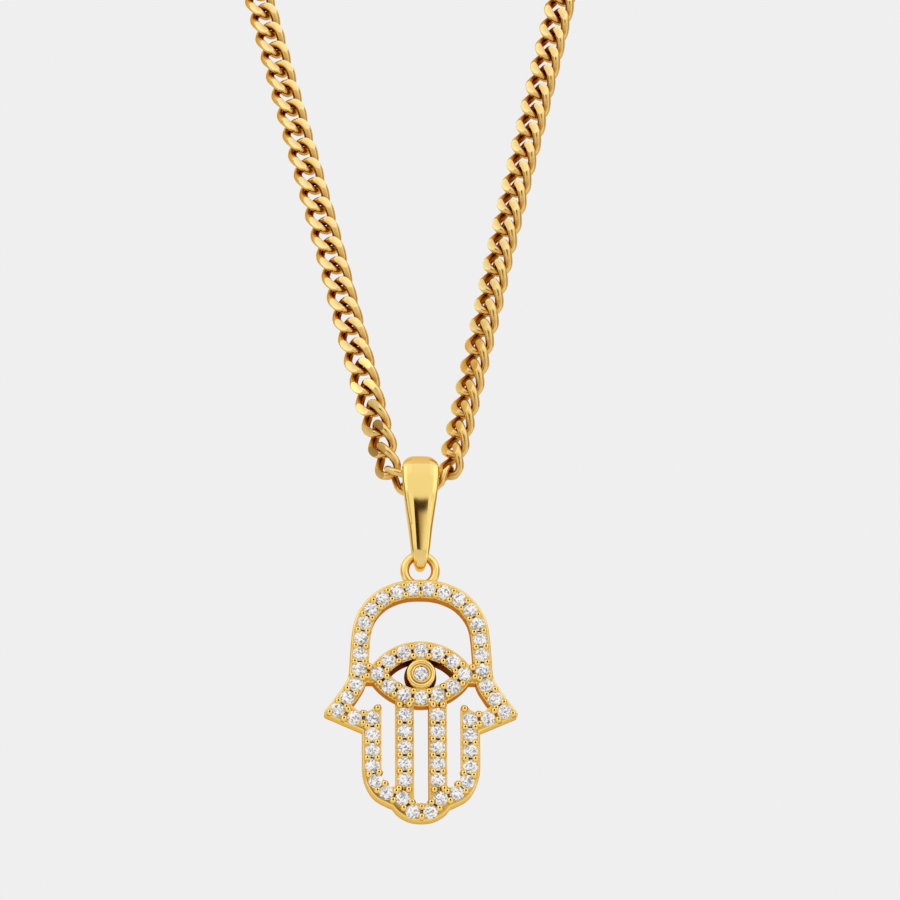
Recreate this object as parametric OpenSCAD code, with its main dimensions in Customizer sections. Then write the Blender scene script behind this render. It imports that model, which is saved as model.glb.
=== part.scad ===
// Hamsa pendant: an open hand with an eye, set with round stones, on a flat curb chain.
// X points to the wearer's left, Z up, and the pendant faces -Y.
// The origin is where the clasp rests on the nape.

/* [Hand] */
// Width of the hand across the thumb tips
hand_w = 18.6; // [17.4:0.1:24]
// Height of the hand from the top of the arch to the lowest finger
hand_h = 23.9; // [22:0.1:30]
// Thickness of the plate
hand_t = 1.7; // [1.4:0.1:2.6]
// Metal outside a row of stones, along the outer edge
outer_rim = 0.30; // [0.2:0.01:0.45]
// Metal beside a row of stones, along every other edge
inner_rim = 0.22; // [0.16:0.01:0.3]
// Width of the slot between the two middle fingers
centre_slot_w = 1.44; // [1.1:0.01:1.8]
// Radius of a thumb's rounded tip
thumb_tip_r = 0.3; // [0.2:0.01:0.4]

/* [Eye] */
// Distance between the two stones in the corners of the eye
eye_w = 8.4; // [8.1:0.1:9]
// Distance between the top and the bottom stone of the eye
eye_h = 4.7; // [4.5:0.1:5.4]
// Outer diameter of the round bezel
bezel_d = 2.78; // [2.5:0.01:3]
// Height of the joint between a corner of the eye and the arch
eye_joint_h = 1.8; // [1.2:0.1:2]
// Height of the bezel's rim above the plate
bezel_rise = 0.35; // [0.2:0.01:0.6]
// Diameter of the stone in the bezel
eye_stone_d = 1.46; // [1.2:0.01:1.6]

/* [Stones] */
// Diameter of a stone
stone_d = 1.3; // [1.1:0.01:1.36]
// Smallest distance between two stones of a row
stone_gap = 0.17; // [0.14:0.01:0.5]
// Clearance between a stone and its seat
seat_clearance = 0.03; // [0.02:0.01:0.06]
// Depth of a seat below the plate's face
seat_depth = 0.75; // [0.7:0.01:1]
// Diameter of the drilled hole behind a stone
drill_d = 0.6; // [0.4:0.01:0.8]
// Diameter of a bead prong
prong_d = 0.6; // [0.4:0.01:0.64]

/* [Ring and bail] */
// Wire diameter of the ring on top of the hand
ring_wire_d = 0.86; // [0.7:0.01:0.9]
// Inner diameter of the ring
ring_hole_d = 2.13; // [2:0.01:2.6]
// How deep the ring is sunk into the top of the arch
ring_sink = 0.85; // [0.5:0.01:0.9]
// Distance between the centres of the bail's two round ends
bail_l = 7.45; // [6.5:0.05:10]
// Width of the bail at its widest
bail_w = 3.62; // [3.3:0.01:3.8]
// Inner radius of the bail's round top, where the chain passes
bail_top_r = 1.7; // [1.65:0.01:2]
// Inner radius of the bail's round foot, where the ring passes
bail_foot_r = 0.75; // [0.72:0.01:0.9]
// Thickness of the bail's metal
bail_wall = 0.82; // [0.7:0.01:1]
// Width of the flat facet along the middle of the bail's front, at the top
facet_w = 1.8; // [1.4:0.01:2.2]

/* [Chain] */
// Width of a link
link_w = 2.6; // [2.4:0.01:2.7]
// Wire diameter of a link
link_wire_d = 0.58; // [0.54:0.01:0.6]
// Distance from one link to the next
link_pitch = 2.42; // [2.39:0.01:2.44]
// Thickness of the chain
chain_t = 1.6; // [1.5:0.01:1.8]
// Play between two neighbouring links, along the chain
link_play = 0.29; // [0.27:0.01:0.3]
// Number of links on each side of the middle one that are made as links
links_a_side = 21; // [14:1:21]

/* [Loop] */
// Width of the chain's loop round the neck
loop_w = 101; // [96:1:108]
// Depth of the loop, from the bail to the nape
loop_d = 132.6; // [126:0.1:142]
// Height of the nape above the bail's top centre
loop_h = 215.5; // [205:0.5:235]

/* [Clasp] */
// Length of the clasp between the middles of its two eyes
clasp_l = 8; // [7:0.1:12]
// Width of the clasp
clasp_w = 4; // [3.6:0.1:5]
// Thickness of the clasp
clasp_t = 1.8; // [1.5:0.1:2.6]

/* [Hidden] */
$fn = 48;

gold = [0.89, 0.68, 0.26];
clear = [0.9, 0.92, 0.95];
cut = 1;
lap = 0.02;
step = 4;

stone_r = stone_d / 2;
stone_pitch = stone_d + stone_gap;
row_in = outer_rim + stone_r;
band_w = outer_rim + stone_d + inner_rim;
bar_w = stone_d + 2 * inner_rim;
bezel_foot_d = eye_h - bar_w + 0.1;
bar_x = centre_slot_w / 2 + bar_w / 2;

// Outer outline of the right half, from the top of the arch to the thumb tip:
// distance from the middle as a share of half the width, and height above the eye as a share of the height
arch_shares = [
    [0, 0.394], [0.215, 0.3854], [0.409, 0.3557], [0.538, 0.3162], [0.634, 0.2674], [0.6925, 0.2127],
    [0.718, 0.1507], [0.731, 0.0862], [0.7495, -0.0068], [0.800, -0.050], [0.902, -0.107]
];
tip_share = -0.162;
// Outline of the outer finger, from its straight side to the notch beside the middle fingers
finger_shares = [
    [0.6075, -0.236], [0.6075, -0.380], [0.590, -0.4335], [0.539, -0.480], [0.467, -0.5135],
    [0.365, -0.536], [0.300, -0.547]
];
// Outline of the lobe under the middle fingers, from the notch to the lowest point
lobe_shares = [[0.300, -0.547], [0.254, -0.569], [0.188, -0.588], [0.100, -0.602], [0, -0.606]];
// Lower edge of the thumb, from its tip to the outer finger
thumb_shares = [[0.915, -0.184], [0.790, -0.2055], [0.6075, -0.236]];
// Upper edge of the thumb's root, from the corner inside the thumb to the horn beside the finger
horn_shares = [[0.718, -0.131], [0.650, -0.154], [0.560, -0.157], [0.480, -0.140], [0.420, -0.127]];
// Stones that sit at the meeting of rows: on the thumb, and two in the lobe
thumb_stone_share = [0.690, -0.1845];
lobe_stone_shares = [[0.195, -0.514], [0.090, -0.569]];
finger_top_share = -0.1875;
bar_top_share = -0.170;
bar_foot_share = -0.4375;
slot_foot_share = -0.466;
centre_foot_share = -0.533;
slot_corner_share = -0.424;

function at_share(p) = [p.x * hand_w / 2, p.y * hand_h];
function mirrored(points) = concat([for (i = [len(points) - 1 : -1 : 0]) points[i]],
    [for (p = points) if (p.x > 0.001) [-p.x, p.y]]);

// A smooth curve through chosen points, with a few steps in each span. It crosses the middle squarely.
function spline(a, b, c, d, t) = 0.5 * (2 * b + (c - a) * t + (2 * a - 5 * b + 4 * c - d) * t * t
    + (3 * b - a - 3 * c + d) * t * t * t);
function reflected(q) = [for (i = [0 : len(q) - 1]) i == 0 ? -q[0] : q[i]];
function beyond(end, inner) = end.x == 0 ? reflected(inner) : 2 * end - inner;
function smooth(p, n = step) = let (last = len(p) - 1) concat(
    [for (i = [0 : last - 1], k = [0 : n - 1])
        spline(i > 0 ? p[i - 1] : beyond(p[0], p[1]), p[i], p[i + 1],
            i < last - 1 ? p[i + 2] : beyond(p[last], p[last - 1]), k / n)],
    [p[last]]);

// Way along a curve at each of its points, and the point that lies a given way along it
function step_l(p, i) = i + 1 < len(p) ? norm(p[i + 1] - p[i]) : 0;
function lengths(p) = [for (i = 0, s = 0; i < len(p); s = s + step_l(p, i), i = i + 1) s];
function along(p, d, s) = [for (k = [0 : len(p[0]) - 1])
    lookup(s, [for (i = [0 : len(p) - 1]) [d[i], p[i][k]]])];

// Points moved to the right of the way along a curve
function heading(p, i) = i == 0 && p[0].x == 0 ? [1, 0]
    : let (d = p[min(i + 1, len(p) - 1)] - p[max(i - 1, 0)]) d / norm(d);
function aside(p, w) = [for (i = [0 : len(p) - 1]) let (h = heading(p, i)) p[i] + w * [h.y, -h.x]];

tip_centre = [hand_w / 2 - thumb_tip_r, tip_share * hand_h];
tip_from = 35;
tip_to = -65;
function on_tip(a) = tip_centre + thumb_tip_r * [cos(a), sin(a)];
arch_edge = smooth(concat([for (s = arch_shares) at_share(s)], [on_tip(tip_from)]));
finger_edge = smooth([for (s = finger_shares) at_share(s)]);
lobe_edge = smooth([for (s = lobe_shares) at_share(s)]);
thumb_edge = [for (s = thumb_shares) at_share(s)];
horn_edge = smooth([for (s = horn_shares) at_share(s)]);
horn_y = horn_edge[len(horn_edge) - 1].y;
horn_r = 0.2;
slot_x = finger_edge[0].x - band_w;

// Rows of stones on the right half
function gaps_in(s) = max(1, floor(s / stone_pitch + 0.02));

arch_path = aside(arch_edge, row_in);
arch_from = lengths(arch_path);
arch_end = arch_from[len(arch_from) - 1] - row_in * 0.8;
arch_gaps = 2 * floor((2 * arch_end / stone_pitch - 1) / 2) + 1;
arch_row = [for (i = [0 : (arch_gaps - 1) / 2])
    along(arch_path, arch_from, (i + 0.5) * 2 * arch_end / arch_gaps)];

finger_path = [for (p = aside(finger_edge, row_in)) if (p.y < finger_top_share * hand_h) p];
finger_start = [finger_path[0].x, finger_top_share * hand_h];
finger_line = concat([finger_start], finger_path);
finger_from = lengths(finger_line);
finger_end = finger_from[len(finger_from) - 1] - row_in * 1.1;
finger_gaps = gaps_in(finger_end);
finger_row = [for (i = [0 : finger_gaps]) along(finger_line, finger_from, finger_end * i / finger_gaps)];

bar_gaps = gaps_in((bar_top_share - bar_foot_share) * hand_h);
bar_row = [for (i = [0 : bar_gaps])
    [bar_x, hand_h * (bar_top_share + (bar_foot_share - bar_top_share) * i / bar_gaps)]];

thumb_stone = at_share(thumb_stone_share);
lobe_row = [for (s = lobe_stone_shares) at_share(s)];
joint_row = concat([arch_row[len(arch_row) - 1]], [thumb_stone], [finger_row[0]]);
foot_row = concat([finger_row[len(finger_row) - 1]], lobe_row);

eye_arc_r = (eye_w * eye_w + eye_h * eye_h) / (4 * eye_h);
eye_arc_y = eye_arc_r - eye_h / 2;
eye_half = asin(eye_w / 2 / eye_arc_r);
eye_gaps = 2 * floor(eye_arc_r * eye_half * PI / 180 / stone_pitch);
eye_top_row = [for (i = [0 : eye_gaps]) let (a = eye_half * (2 * i / eye_gaps - 1))
    [eye_arc_r * sin(a), eye_arc_r * cos(a) - eye_arc_y]];
eye_low_row = [for (p = eye_top_row) [p.x, -p.y]];

function flip(row) = [for (p = row) [-p.x, p.y]];
right_stones = concat(arch_row, [thumb_stone], finger_row, lobe_row, bar_row);
eye_stones = concat(eye_top_row, [for (i = [1 : eye_gaps - 1]) eye_low_row[i]]);
stones = concat(right_stones, flip(right_stones), eye_stones);

// Two bead prongs stand between each two neighbours
function pairs(row) = [for (i = [0 : len(row) - 2]) [row[i], row[i + 1]]];
function nearest(p, row, i = 0, best = 0) = i == len(row) ? row[best]
    : nearest(p, row, i + 1, norm(row[i] - p) < norm(row[best] - p) ? i : best);
right_pairs = concat(pairs(arch_row), pairs(joint_row), pairs(finger_row), pairs(foot_row), pairs(bar_row),
    [[bar_row[len(bar_row) - 1], lobe_row[0]], [nearest(bar_row[0], eye_low_row), bar_row[0]],
     [eye_top_row[eye_gaps], nearest(eye_top_row[eye_gaps], arch_row)]]);
eye_pairs = concat(pairs(eye_top_row), pairs(eye_low_row));
top_pair = [[-arch_row[0].x, arch_row[0].y], arch_row[0]];
low_pair = [lobe_row[1], [-lobe_row[1].x, lobe_row[1].y]];
prong_out = band_w / 2 - prong_d / 2 - 0.12;
function two_prongs(a, b) = let (m = (a + b) / 2, d = (b - a) / norm(b - a), n = [d.y, -d.x])
    [m + prong_out * n, m - prong_out * n];
right_prongs = [for (p = right_pairs, q = two_prongs(p[0], p[1])) q];
end_prongs = [tip_centre - [0.2, 0], [slot_x + 0.35, horn_y - 0.4]];
eye_prongs = [for (p = eye_pairs, q = two_prongs(p[0], p[1])) q];
prongs = concat(right_prongs, end_prongs, flip(end_prongs), flip(right_prongs), eye_prongs,
    two_prongs(top_pair[0], top_pair[1]), two_prongs(low_pair[0], low_pair[1]));

// Heights above the eye of the ring and of the bail's two ends
ring_r = ring_hole_d / 2 + ring_wire_d / 2;
arch_top = arch_edge[0].y;
ring_z = arch_top + ring_r + ring_wire_d / 2 - ring_sink;
bail_foot_z = ring_z + ring_r;
pivot_z = bail_foot_z + bail_l;

// Route of the chain on the right, measured from the bail's top centre: first through the bail's hollow
// and up in front of it, in millimetres, then as shares of half the loop's width, its depth and its height
bail_route = [
    [0, 0, -0.4], [0.73, 0, -0.69], [1.93, 0.1, 0.29], [3.1, 0.435, 1.69], [3.53, 0.88, 3.72],
    [4.4, 1.85, 7.4], [5.5, 3.05, 12.3]
];
loop_shares = [
    [0.1426, 0.0373, 0.0923], [0.178, 0.0528, 0.130], [0.283, 0.095, 0.2343], [0.396, 0.1433, 0.348],
    [0.505, 0.1855, 0.450], [0.693, 0.2753, 0.6033], [0.8574, 0.381, 0.7216], [0.970, 0.513, 0.8144],
    [1, 0.6523, 0.884], [0.911, 0.7843, 0.935], [0.713, 0.8974, 0.972], [0.402, 0.9744, 0.993], [0, 1, 1]
];
route = concat(bail_route, [for (s = loop_shares) [s.x * loop_w / 2, s.y * loop_d, s.z * loop_h]]);
neck_axis_y = 0.6335 * loop_d;
nape = route[len(route) - 1];
neck_rest = nape - [0, clasp_t / 2, 0];
hand_origin = -neck_rest + [0, 0, -pivot_z];

route_line = smooth(route, 12);
route_from = lengths(route_line);
route_l = route_from[len(route_from) - 1];
function route_at(s) = s < 0 ? let (p = along(route_line, route_from, -s)) [-p.x, p.y, p.z]
    : along(route_line, route_from, s);
function unit(v) = v / norm(v);
function outward(p) = unit([p.x, p.y - neck_axis_y, 0]);

// How far the flat face is turned about the chain's run, in degrees, at some numbers of links from the bail,
// where links on the left count as negative. On the way through the bail the chain makes a half turn.
face_turns = [
    [-37, 0], [-20.7, -22], [-15.7, -12], [-10.7, 0], [-6.2, 18], [-3.3, 38], [-1.65, 52],
    [1.65, 118], [3.3, 124], [6.2, 127], [10.7, 135], [15.7, 142], [20.7, 148], [49.6, 180]
];

// Directions at a place on the chain: along it, across it, and out of its flat face
function frame_at(s, reach) = let (
    a = unit(route_at(s + reach) - route_at(s - reach)),
    o = outward(route_at(s)),
    m = unit(o - (o * a) * a),
    turn = lookup(s / link_pitch, face_turns),
    n = cos(turn) * m + sin(turn) * cross(a, m)
) [a, cross(n, a), n];

link_a = (link_pitch + link_wire_d + link_play) / 2;
link_b = (link_w - link_wire_d) / 2;
link_c = (chain_t - link_wire_d) / 2;
link_sides = 12;
wire_sides = 6;

// Middle line of a twisted link, and a ring of wire around it
function link_line(t) = [link_a * cos(t), link_b * sin(t), -link_c * sin(2 * t)];
function link_way(t) = unit([-link_a * sin(t), link_b * cos(t), -2 * link_c * cos(2 * t)]);
function link_ring(t) = let (
    c = link_line(t), w = link_way(t),
    u = unit(cross(w, [0, 0, 1])), v = cross(u, w)
) [for (k = [0 : wire_sides - 1]) let (a = (k + 0.5) * 360 / wire_sides)
    c + link_wire_d / 2 * (cos(a) * u + sin(a) * v)];
link_points = [for (i = [0 : link_sides - 1]) each link_ring((i + 0.5) * 360 / link_sides)];
function placed(p, c, f) = c + p.x * f[0] + p.y * f[1] + p.z * f[2];

// Faces of a closed ring of n sections with m points each, whose first point is number k
function ring_faces(n, m, k = 0) = [for (i = [0 : n - 1], j = [0 : m - 1], h = [0, 1]) let (
    a = k + i * m + j, b = k + i * m + (j + 1) % m,
    c = k + ((i + 1) % n) * m + j, d = k + ((i + 1) % n) * m + (j + 1) % m
) h == 0 ? [a, b, d] : [a, d, c]];

// Ordered outline of the right half's outer edge, closed over the middle by its mirror image
tip_turn = 20;
tip_edge = [for (a = [tip_from : -tip_turn : tip_to]) on_tip(a)];
outer_edge = concat(
    [for (i = [0 : len(arch_edge) - 2]) arch_edge[i]],
    tip_edge,
    [for (i = [1 : len(thumb_edge) - 2]) thumb_edge[i]],
    finger_edge,
    [for (i = [1 : len(lobe_edge) - 1]) lobe_edge[i]]
);

inner_arch = [for (p = aside(arch_edge, band_w)) if (p.y > horn_edge[0].y) p];
bar_side = bar_x + bar_w / 2;
inner_edge = concat(
    inner_arch,
    [for (p = horn_edge) if (p.x > slot_x + horn_r + lap) p],
    [[slot_x + horn_r, horn_y], [slot_x + 0.3 * horn_r, horn_y - 0.3 * horn_r], [slot_x, horn_y - horn_r],
     [slot_x, slot_corner_share * hand_h],
     [(slot_x + bar_side) / 2, slot_foot_share * hand_h], [centre_slot_w / 2, slot_foot_share * hand_h],
     [centre_slot_w / 2, centre_foot_share * hand_h]]
);

// An almond between two arcs, wider or narrower than the row of stones by w
module almond(w) {
    intersection() {
        translate([0, -eye_arc_y])
            circle(eye_arc_r + w);
        translate([0, eye_arc_y])
            circle(eye_arc_r + w);
    }
}

module eye_joint(side) {
    reach = nearest([eye_w / 2, 0], arch_row).x - eye_w / 2;
    translate([side * (eye_w + reach) / 2, 0])
        square([reach, eye_joint_h], center = true);
}

module finger_bar(side) {
    top = -eye_h / 2;
    foot = slot_foot_share * hand_h - 0.2;
    translate([side * bar_x - bar_w / 2, foot])
        square([bar_w, top - foot]);
}

module hand_outline() {
    difference() {
        union() {
            difference() {
                polygon(mirrored(outer_edge));
                polygon(mirrored(inner_edge));
            }
            almond(bar_w / 2);
            for (side = [-1, 1])
                eye_joint(side);
            finger_bar(-1);
            finger_bar(1);
        }
        difference() {
            almond(-bar_w / 2);
            circle(d = bezel_foot_d);
        }
    }
}

// Stands a drawing in the XZ plane, with its face towards -Y and its back at the plate's back
module standing(depth) {
    rotate([90, 0, 0])
        translate([0, 0, -depth])
            linear_extrude(depth)
                children();
}

module bezel() {
    rim_r = 0.24;
    rotate([90, 0, 0])
        rotate_extrude() {
            translate([0, -hand_t])
                square([bezel_d / 2 - lap, hand_t + bezel_rise - rim_r]);
            translate([bezel_d / 2 - rim_r, bezel_rise - rim_r])
                circle(rim_r);
        }
}

// A bead that holds the edges of the stones beside it
module prong(p) {
    rise = 0.2;
    root = 0.2;
    translate([p.x, root, p.y])
        rotate([90, 0, 0])
            cylinder(d1 = prong_d + 0.1, d2 = prong_d - 0.2, h = rise + root);
}

module seat(p, d) {
    translate([p.x, 0, p.y])
        rotate([90, 0, 0]) {
            translate([0, 0, -seat_depth])
                cylinder(d = d + 2 * seat_clearance, h = seat_depth + cut);
            translate([0, 0, -hand_t - cut])
                cylinder(d = drill_d, h = hand_t + cut);
        }
}

module hand_frame() {
    color(gold)
        translate(hand_origin)
            translate([0, -hand_t / 2, 0])
                difference() {
                    union() {
                        standing(hand_t)
                            hand_outline();
                        bezel();
                        for (p = prongs)
                            prong(p);
                        translate([0, hand_t / 2, ring_z])
                            rotate([90, 0, 0])
                                rotate_extrude()
                                    translate([ring_r, 0])
                                        circle(d = ring_wire_d);
                    }
                    for (p = stones)
                        seat(p, stone_d);
                    seat([0, 0], eye_stone_d);
                }
}

// A round stone of d across: table, crown, girdle, pavilion and culet, with its girdle near the plate's face
crown_sides = 8;
table_share = 0.56;
girdle_y = 0.05;
girdle_h = 0.05;
crown_h = 0.15;
pavilion_share = 0.4;

function stone_points(p, d, lift) = let (n = crown_sides, r = d / 2)
    [for (q = [[table_share * r, -crown_h], [r, 0], [r, girdle_h]], k = [0 : n - 1])
        let (a = (k + 0.5) * 360 / n) [p.x + q[0] * cos(a), girdle_y - lift + q[1], p.y + q[0] * sin(a)],
     [p.x, girdle_y - lift + girdle_h + pavilion_share * d, p.y]];
function stone_faces(k) = let (n = crown_sides) concat(
    [[for (i = [0 : n - 1]) k + i]],
    [for (h = [0, 1], i = [0 : n - 1]) let (a = k + h * n)
        [a + i, a + n + i, a + n + (i + 1) % n, a + (i + 1) % n]],
    [for (i = [0 : n - 1]) [k + 2 * n + i, k + 3 * n, k + 2 * n + (i + 1) % n]]
);

module cut_stones(places, d, lift = 0) {
    count = 3 * crown_sides + 1;
    color(clear)
        translate(hand_origin)
            translate([0, -hand_t / 2, 0])
                polyhedron(
                    points = [for (p = places) each stone_points(p, d, lift)],
                    faces = [for (i = [0 : len(places) - 1]) each stone_faces(i * count)]
                );
}

module pave_stones() cut_stones(stones, stone_d);

module eye_stone() cut_stones([[0, 0]], eye_stone_d, 0.1);

// The shape of a loop with one round end at the origin and the other below it
module drop(top_r, foot_r, l) {
    lean = asin((top_r - foot_r) / l);
    side = [cos(lean), -sin(lean)];
    foot = [0, -l];
    inset = 0.003;
    a = (top_r - inset) * side;
    b = foot + (foot_r - inset) * side;
    circle(top_r);
    translate(foot)
        circle(foot_r);
    polygon([b, a, [-a.x, a.y], [-b.x, b.y]]);
}

// Outline of the bail from the front: share of half its width, and way down as a share of its height
bail_shares = [
    [0.59, 0], [0.84, 0.030], [0.965, 0.075], [1, 0.137], [0.995, 0.210], [0.91, 0.345],
    [0.755, 0.515], [0.615, 0.665], [0.505, 0.800], [0.430, 0.860], [0.300, 0.930], [0.180, 1]
];
facet_drop = 0.42;
facet_foot_share = 0.4;
far = 20;

module facet_cut() {
    top_r = bail_top_r + bail_wall;
    foot_r = bail_foot_r + bail_wall;
    lean = asin((top_r - foot_r) / bail_l);
    run = (bail_w - facet_w) / 2;
    rotate([lean, 0, 0])
        translate([facet_w / 2, -top_r, 0])
            rotate([0, atan((1 - facet_foot_share) * facet_w / 2 / bail_l), 0])
                rotate([0, 0, atan(facet_drop / run)])
                    translate([0, -far, -far])
                        cube(far);
}

// Slopes the shoulders of the round top down to both sides
module shoulder_cut() {
    top_r = bail_top_r + bail_wall;
    run = (bail_w - facet_w) / 2;
    rotate([0, 90, 0])
        rotate([0, 0, 90])
            rotate_extrude(angle = 180)
                polygon([
                    [top_r, facet_w / 2], [top_r - 2 * facet_drop, facet_w / 2 + 2 * run],
                    [far, facet_w / 2 + 2 * run], [far, facet_w / 2]
                ]);
}

module bail() {
    top_r = bail_top_r + bail_wall;
    foot_r = bail_foot_r + bail_wall;
    height = top_r + bail_l + foot_r;
    edge = smooth([for (s = bail_shares) [s.x * bail_w / 2, top_r - s.y * height]], 2);
    color(gold)
        translate(-neck_rest)
            difference() {
                intersection() {
                    rotate([90, 0, 90])
                        translate([0, 0, -bail_w])
                            linear_extrude(2 * bail_w)
                                drop(top_r, foot_r, bail_l);
                    rotate([90, 0, 0])
                        translate([0, 0, -far])
                            linear_extrude(2 * far)
                                polygon(mirrored(edge));
                }
                rotate([90, 0, 90])
                    translate([0, 0, -bail_w])
                        linear_extrude(2 * bail_w)
                            drop(bail_top_r, bail_foot_r, bail_l);
                for (x = [0, 1], y = [0, 1])
                    mirror([x, 0, 0])
                        mirror([0, y, 0])
                            facet_cut();
                for (x = [0, 1])
                    mirror([x, 0, 0])
                        shoulder_cut();
            }
}

module chain_front() {
    count = link_sides * wire_sides;
    places = [for (i = [-links_a_side : links_a_side]) i * link_pitch];
    color(gold)
        translate(-neck_rest)
            polyhedron(
                points = [for (s = places) let (c = route_at(s), f = frame_at(s, link_pitch / 2))
                    each [for (p = link_points) placed(p, c, f)]],
                faces = [for (i = [0 : len(places) - 1]) each ring_faces(link_sides, wire_sides, i * count)]
            );
}

// The rest of the chain, as plain flattened tubes from the last link on each side to the clasp
tube_sides = 8;
tube_rings = 38;
meeting_gap = 0.25;
tube_from = links_a_side * link_pitch + link_a + link_wire_d / 2 + meeting_gap;
tube_to = route_l - clasp_l / 2 - clasp_w / 2 - meeting_gap;

function tube_points(side) = [for (i = [0 : tube_rings - 1]) let (
    s = side * (tube_from + (tube_to - tube_from) * i / (tube_rings - 1)),
    f = frame_at(s, 0.5), c = route_at(s)
) each [for (k = [0 : tube_sides - 1]) let (a = (k + 0.5) * 360 / tube_sides)
    placed([0, link_w / 2 * cos(a), chain_t / 2 * sin(a)], c, f)]];
function tube_faces(k) = let (m = tube_sides, n = tube_rings) concat(
    [[for (j = [0 : m - 1]) k + j]],
    [for (i = [0 : n - 2], j = [0 : m - 1]) let (a = k + i * m + j, b = k + i * m + (j + 1) % m)
        [a, a + m, b + m, b]],
    [[for (j = [m - 1 : -1 : 0]) k + (n - 1) * m + j]]
);

module chain_back() {
    color(gold)
        translate(-neck_rest)
            polyhedron(
                points = concat(tube_points(-1), tube_points(1)),
                faces = concat(
                    [for (f = tube_faces(0)) [for (i = [len(f) - 1 : -1 : 0]) f[i]]],
                    tube_faces(tube_sides * tube_rings)
                )
            );
}

module clasp() {
    eye_r = 1.35;
    eye_hole_r = 0.75;
    color(gold)
        translate(nape - neck_rest)
            rotate([90, 0, 0])
                translate([0, 0, -clasp_t / 2])
                    linear_extrude(clasp_t)
                        difference() {
                            translate([-clasp_l / 2, 0])
                                rotate(90)
                                    drop(clasp_w / 2, eye_r, clasp_l);
                            translate([-clasp_l / 2, 0])
                                circle(clasp_w / 2 - 0.9);
                            translate([clasp_l / 2, 0])
                                circle(eye_hole_r);
                        }
}

hand_frame();
pave_stones();
eye_stone();
bail();
chain_front();
chain_back();
clasp();
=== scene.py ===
"""Looks of a hamsa pendant on a flat curb chain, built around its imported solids."""
import logging
import math
from dataclasses import dataclass, field
from enum import Enum
from functools import reduce
from typing import Callable, Sequence

import bmesh
import bpy
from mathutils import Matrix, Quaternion, Vector
from mathutils.geometry import delaunay_2d_cdt


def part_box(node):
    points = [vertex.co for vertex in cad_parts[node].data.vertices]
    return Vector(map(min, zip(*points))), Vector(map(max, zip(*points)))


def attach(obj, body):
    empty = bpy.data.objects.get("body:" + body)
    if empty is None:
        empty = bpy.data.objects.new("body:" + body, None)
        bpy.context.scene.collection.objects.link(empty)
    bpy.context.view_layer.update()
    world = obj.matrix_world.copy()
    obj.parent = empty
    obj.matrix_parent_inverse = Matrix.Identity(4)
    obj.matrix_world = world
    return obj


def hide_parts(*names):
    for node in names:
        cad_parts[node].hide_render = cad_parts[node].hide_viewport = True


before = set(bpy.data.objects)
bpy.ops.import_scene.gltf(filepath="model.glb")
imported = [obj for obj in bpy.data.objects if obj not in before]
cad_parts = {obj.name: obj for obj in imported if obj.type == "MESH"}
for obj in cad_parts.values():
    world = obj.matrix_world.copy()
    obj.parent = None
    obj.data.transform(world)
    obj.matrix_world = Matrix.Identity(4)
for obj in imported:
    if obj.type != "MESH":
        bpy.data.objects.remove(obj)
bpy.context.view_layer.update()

log = logging.getLogger("pendant")

MM = 0.001
# How near to the middle plane a point counts as lying on it, in millimetres
ON_MIDDLE = 1e-9
# Sockets that a random value node has for its least and its greatest number
RANDOM_LEAST, RANDOM_MOST = 2, 3
# Sockets that a colour mixing node has for the lower and the upper colour, and for what comes out
MIX_UNDER, MIX_OVER, MIX_OUT = 6, 7, 2
Point = tuple[float, float]
Loop = list[Point]
Triangle = tuple[int, int, int]
Colour = tuple[float, float, float]


class Body(Enum):
    """Moving bodies of the necklace."""

    NECKLACE = "necklace"
    BAIL = "bail"
    HAND = "hand"


class Slot(Enum):
    """Material slots of the record."""

    GOLD = "gold"
    STONES = "stones"


class Ends(Enum):
    """What becomes of the ends of a row of sections."""

    JOINED = "joined"
    CAPPED = "capped"
    OPEN = "open"


# Small sums in the plane


def add(a: Point, b: Point, w: float) -> Point:
    """Returns a moved by w times b."""
    return (a[0] + w * b[0], a[1] + w * b[1])


def gap(a: Point, b: Point) -> float:
    """Returns the distance between two points."""
    return math.hypot(a[0] - b[0], a[1] - b[1])


def spline(points: Sequence[Sequence[float]], steps: int) -> list[tuple[float, ...]]:
    """Draws a smooth curve through points, square to the middle plane where an end lies on it.

    Args:
        points: The points to pass through, of any dimension.
        steps: Steps in each span.

    Returns:
        The points of the curve.
    """

    def beyond(end: Sequence[float], inner: Sequence[float]) -> tuple[float, ...]:
        """Returns a helping point past an end of the curve.

        Args:
            end: The end.
            inner: The point next to it.

        Returns:
            The mirror image of the inner point, in the middle plane or else in the end.
        """
        if abs(end[0]) < ON_MIDDLE:
            return (-inner[0],) + tuple(inner[1:])
        return tuple(2 * e - i for e, i in zip(end, inner))

    track = [beyond(points[0], points[1]), *points, beyond(points[-1], points[-2])]
    curve: list[tuple[float, ...]] = []
    for a, b, c, d in zip(track, track[1:], track[2:], track[3:]):
        for k in range(steps):
            t = k / steps
            curve.append(tuple(
                0.5 * (
                    2 * q + (r - p) * t + (2 * p - 5 * q + 4 * r - s) * t * t
                    + (3 * q - p - 3 * r + s) * t ** 3
                )
                for p, q, r, s in zip(a, b, c, d)
            ))
    curve.append(tuple(points[-1]))
    return curve


def lengths(points: Sequence[Sequence[float]]) -> list[float]:
    """Measures the way along a curve.

    Args:
        points: Points of the curve, of any dimension.

    Returns:
        The way from the start to each point.
    """
    way = [0.0]
    for a, b in zip(points, points[1:]):
        way.append(way[-1] + math.dist(a, b))
    return way


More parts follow.
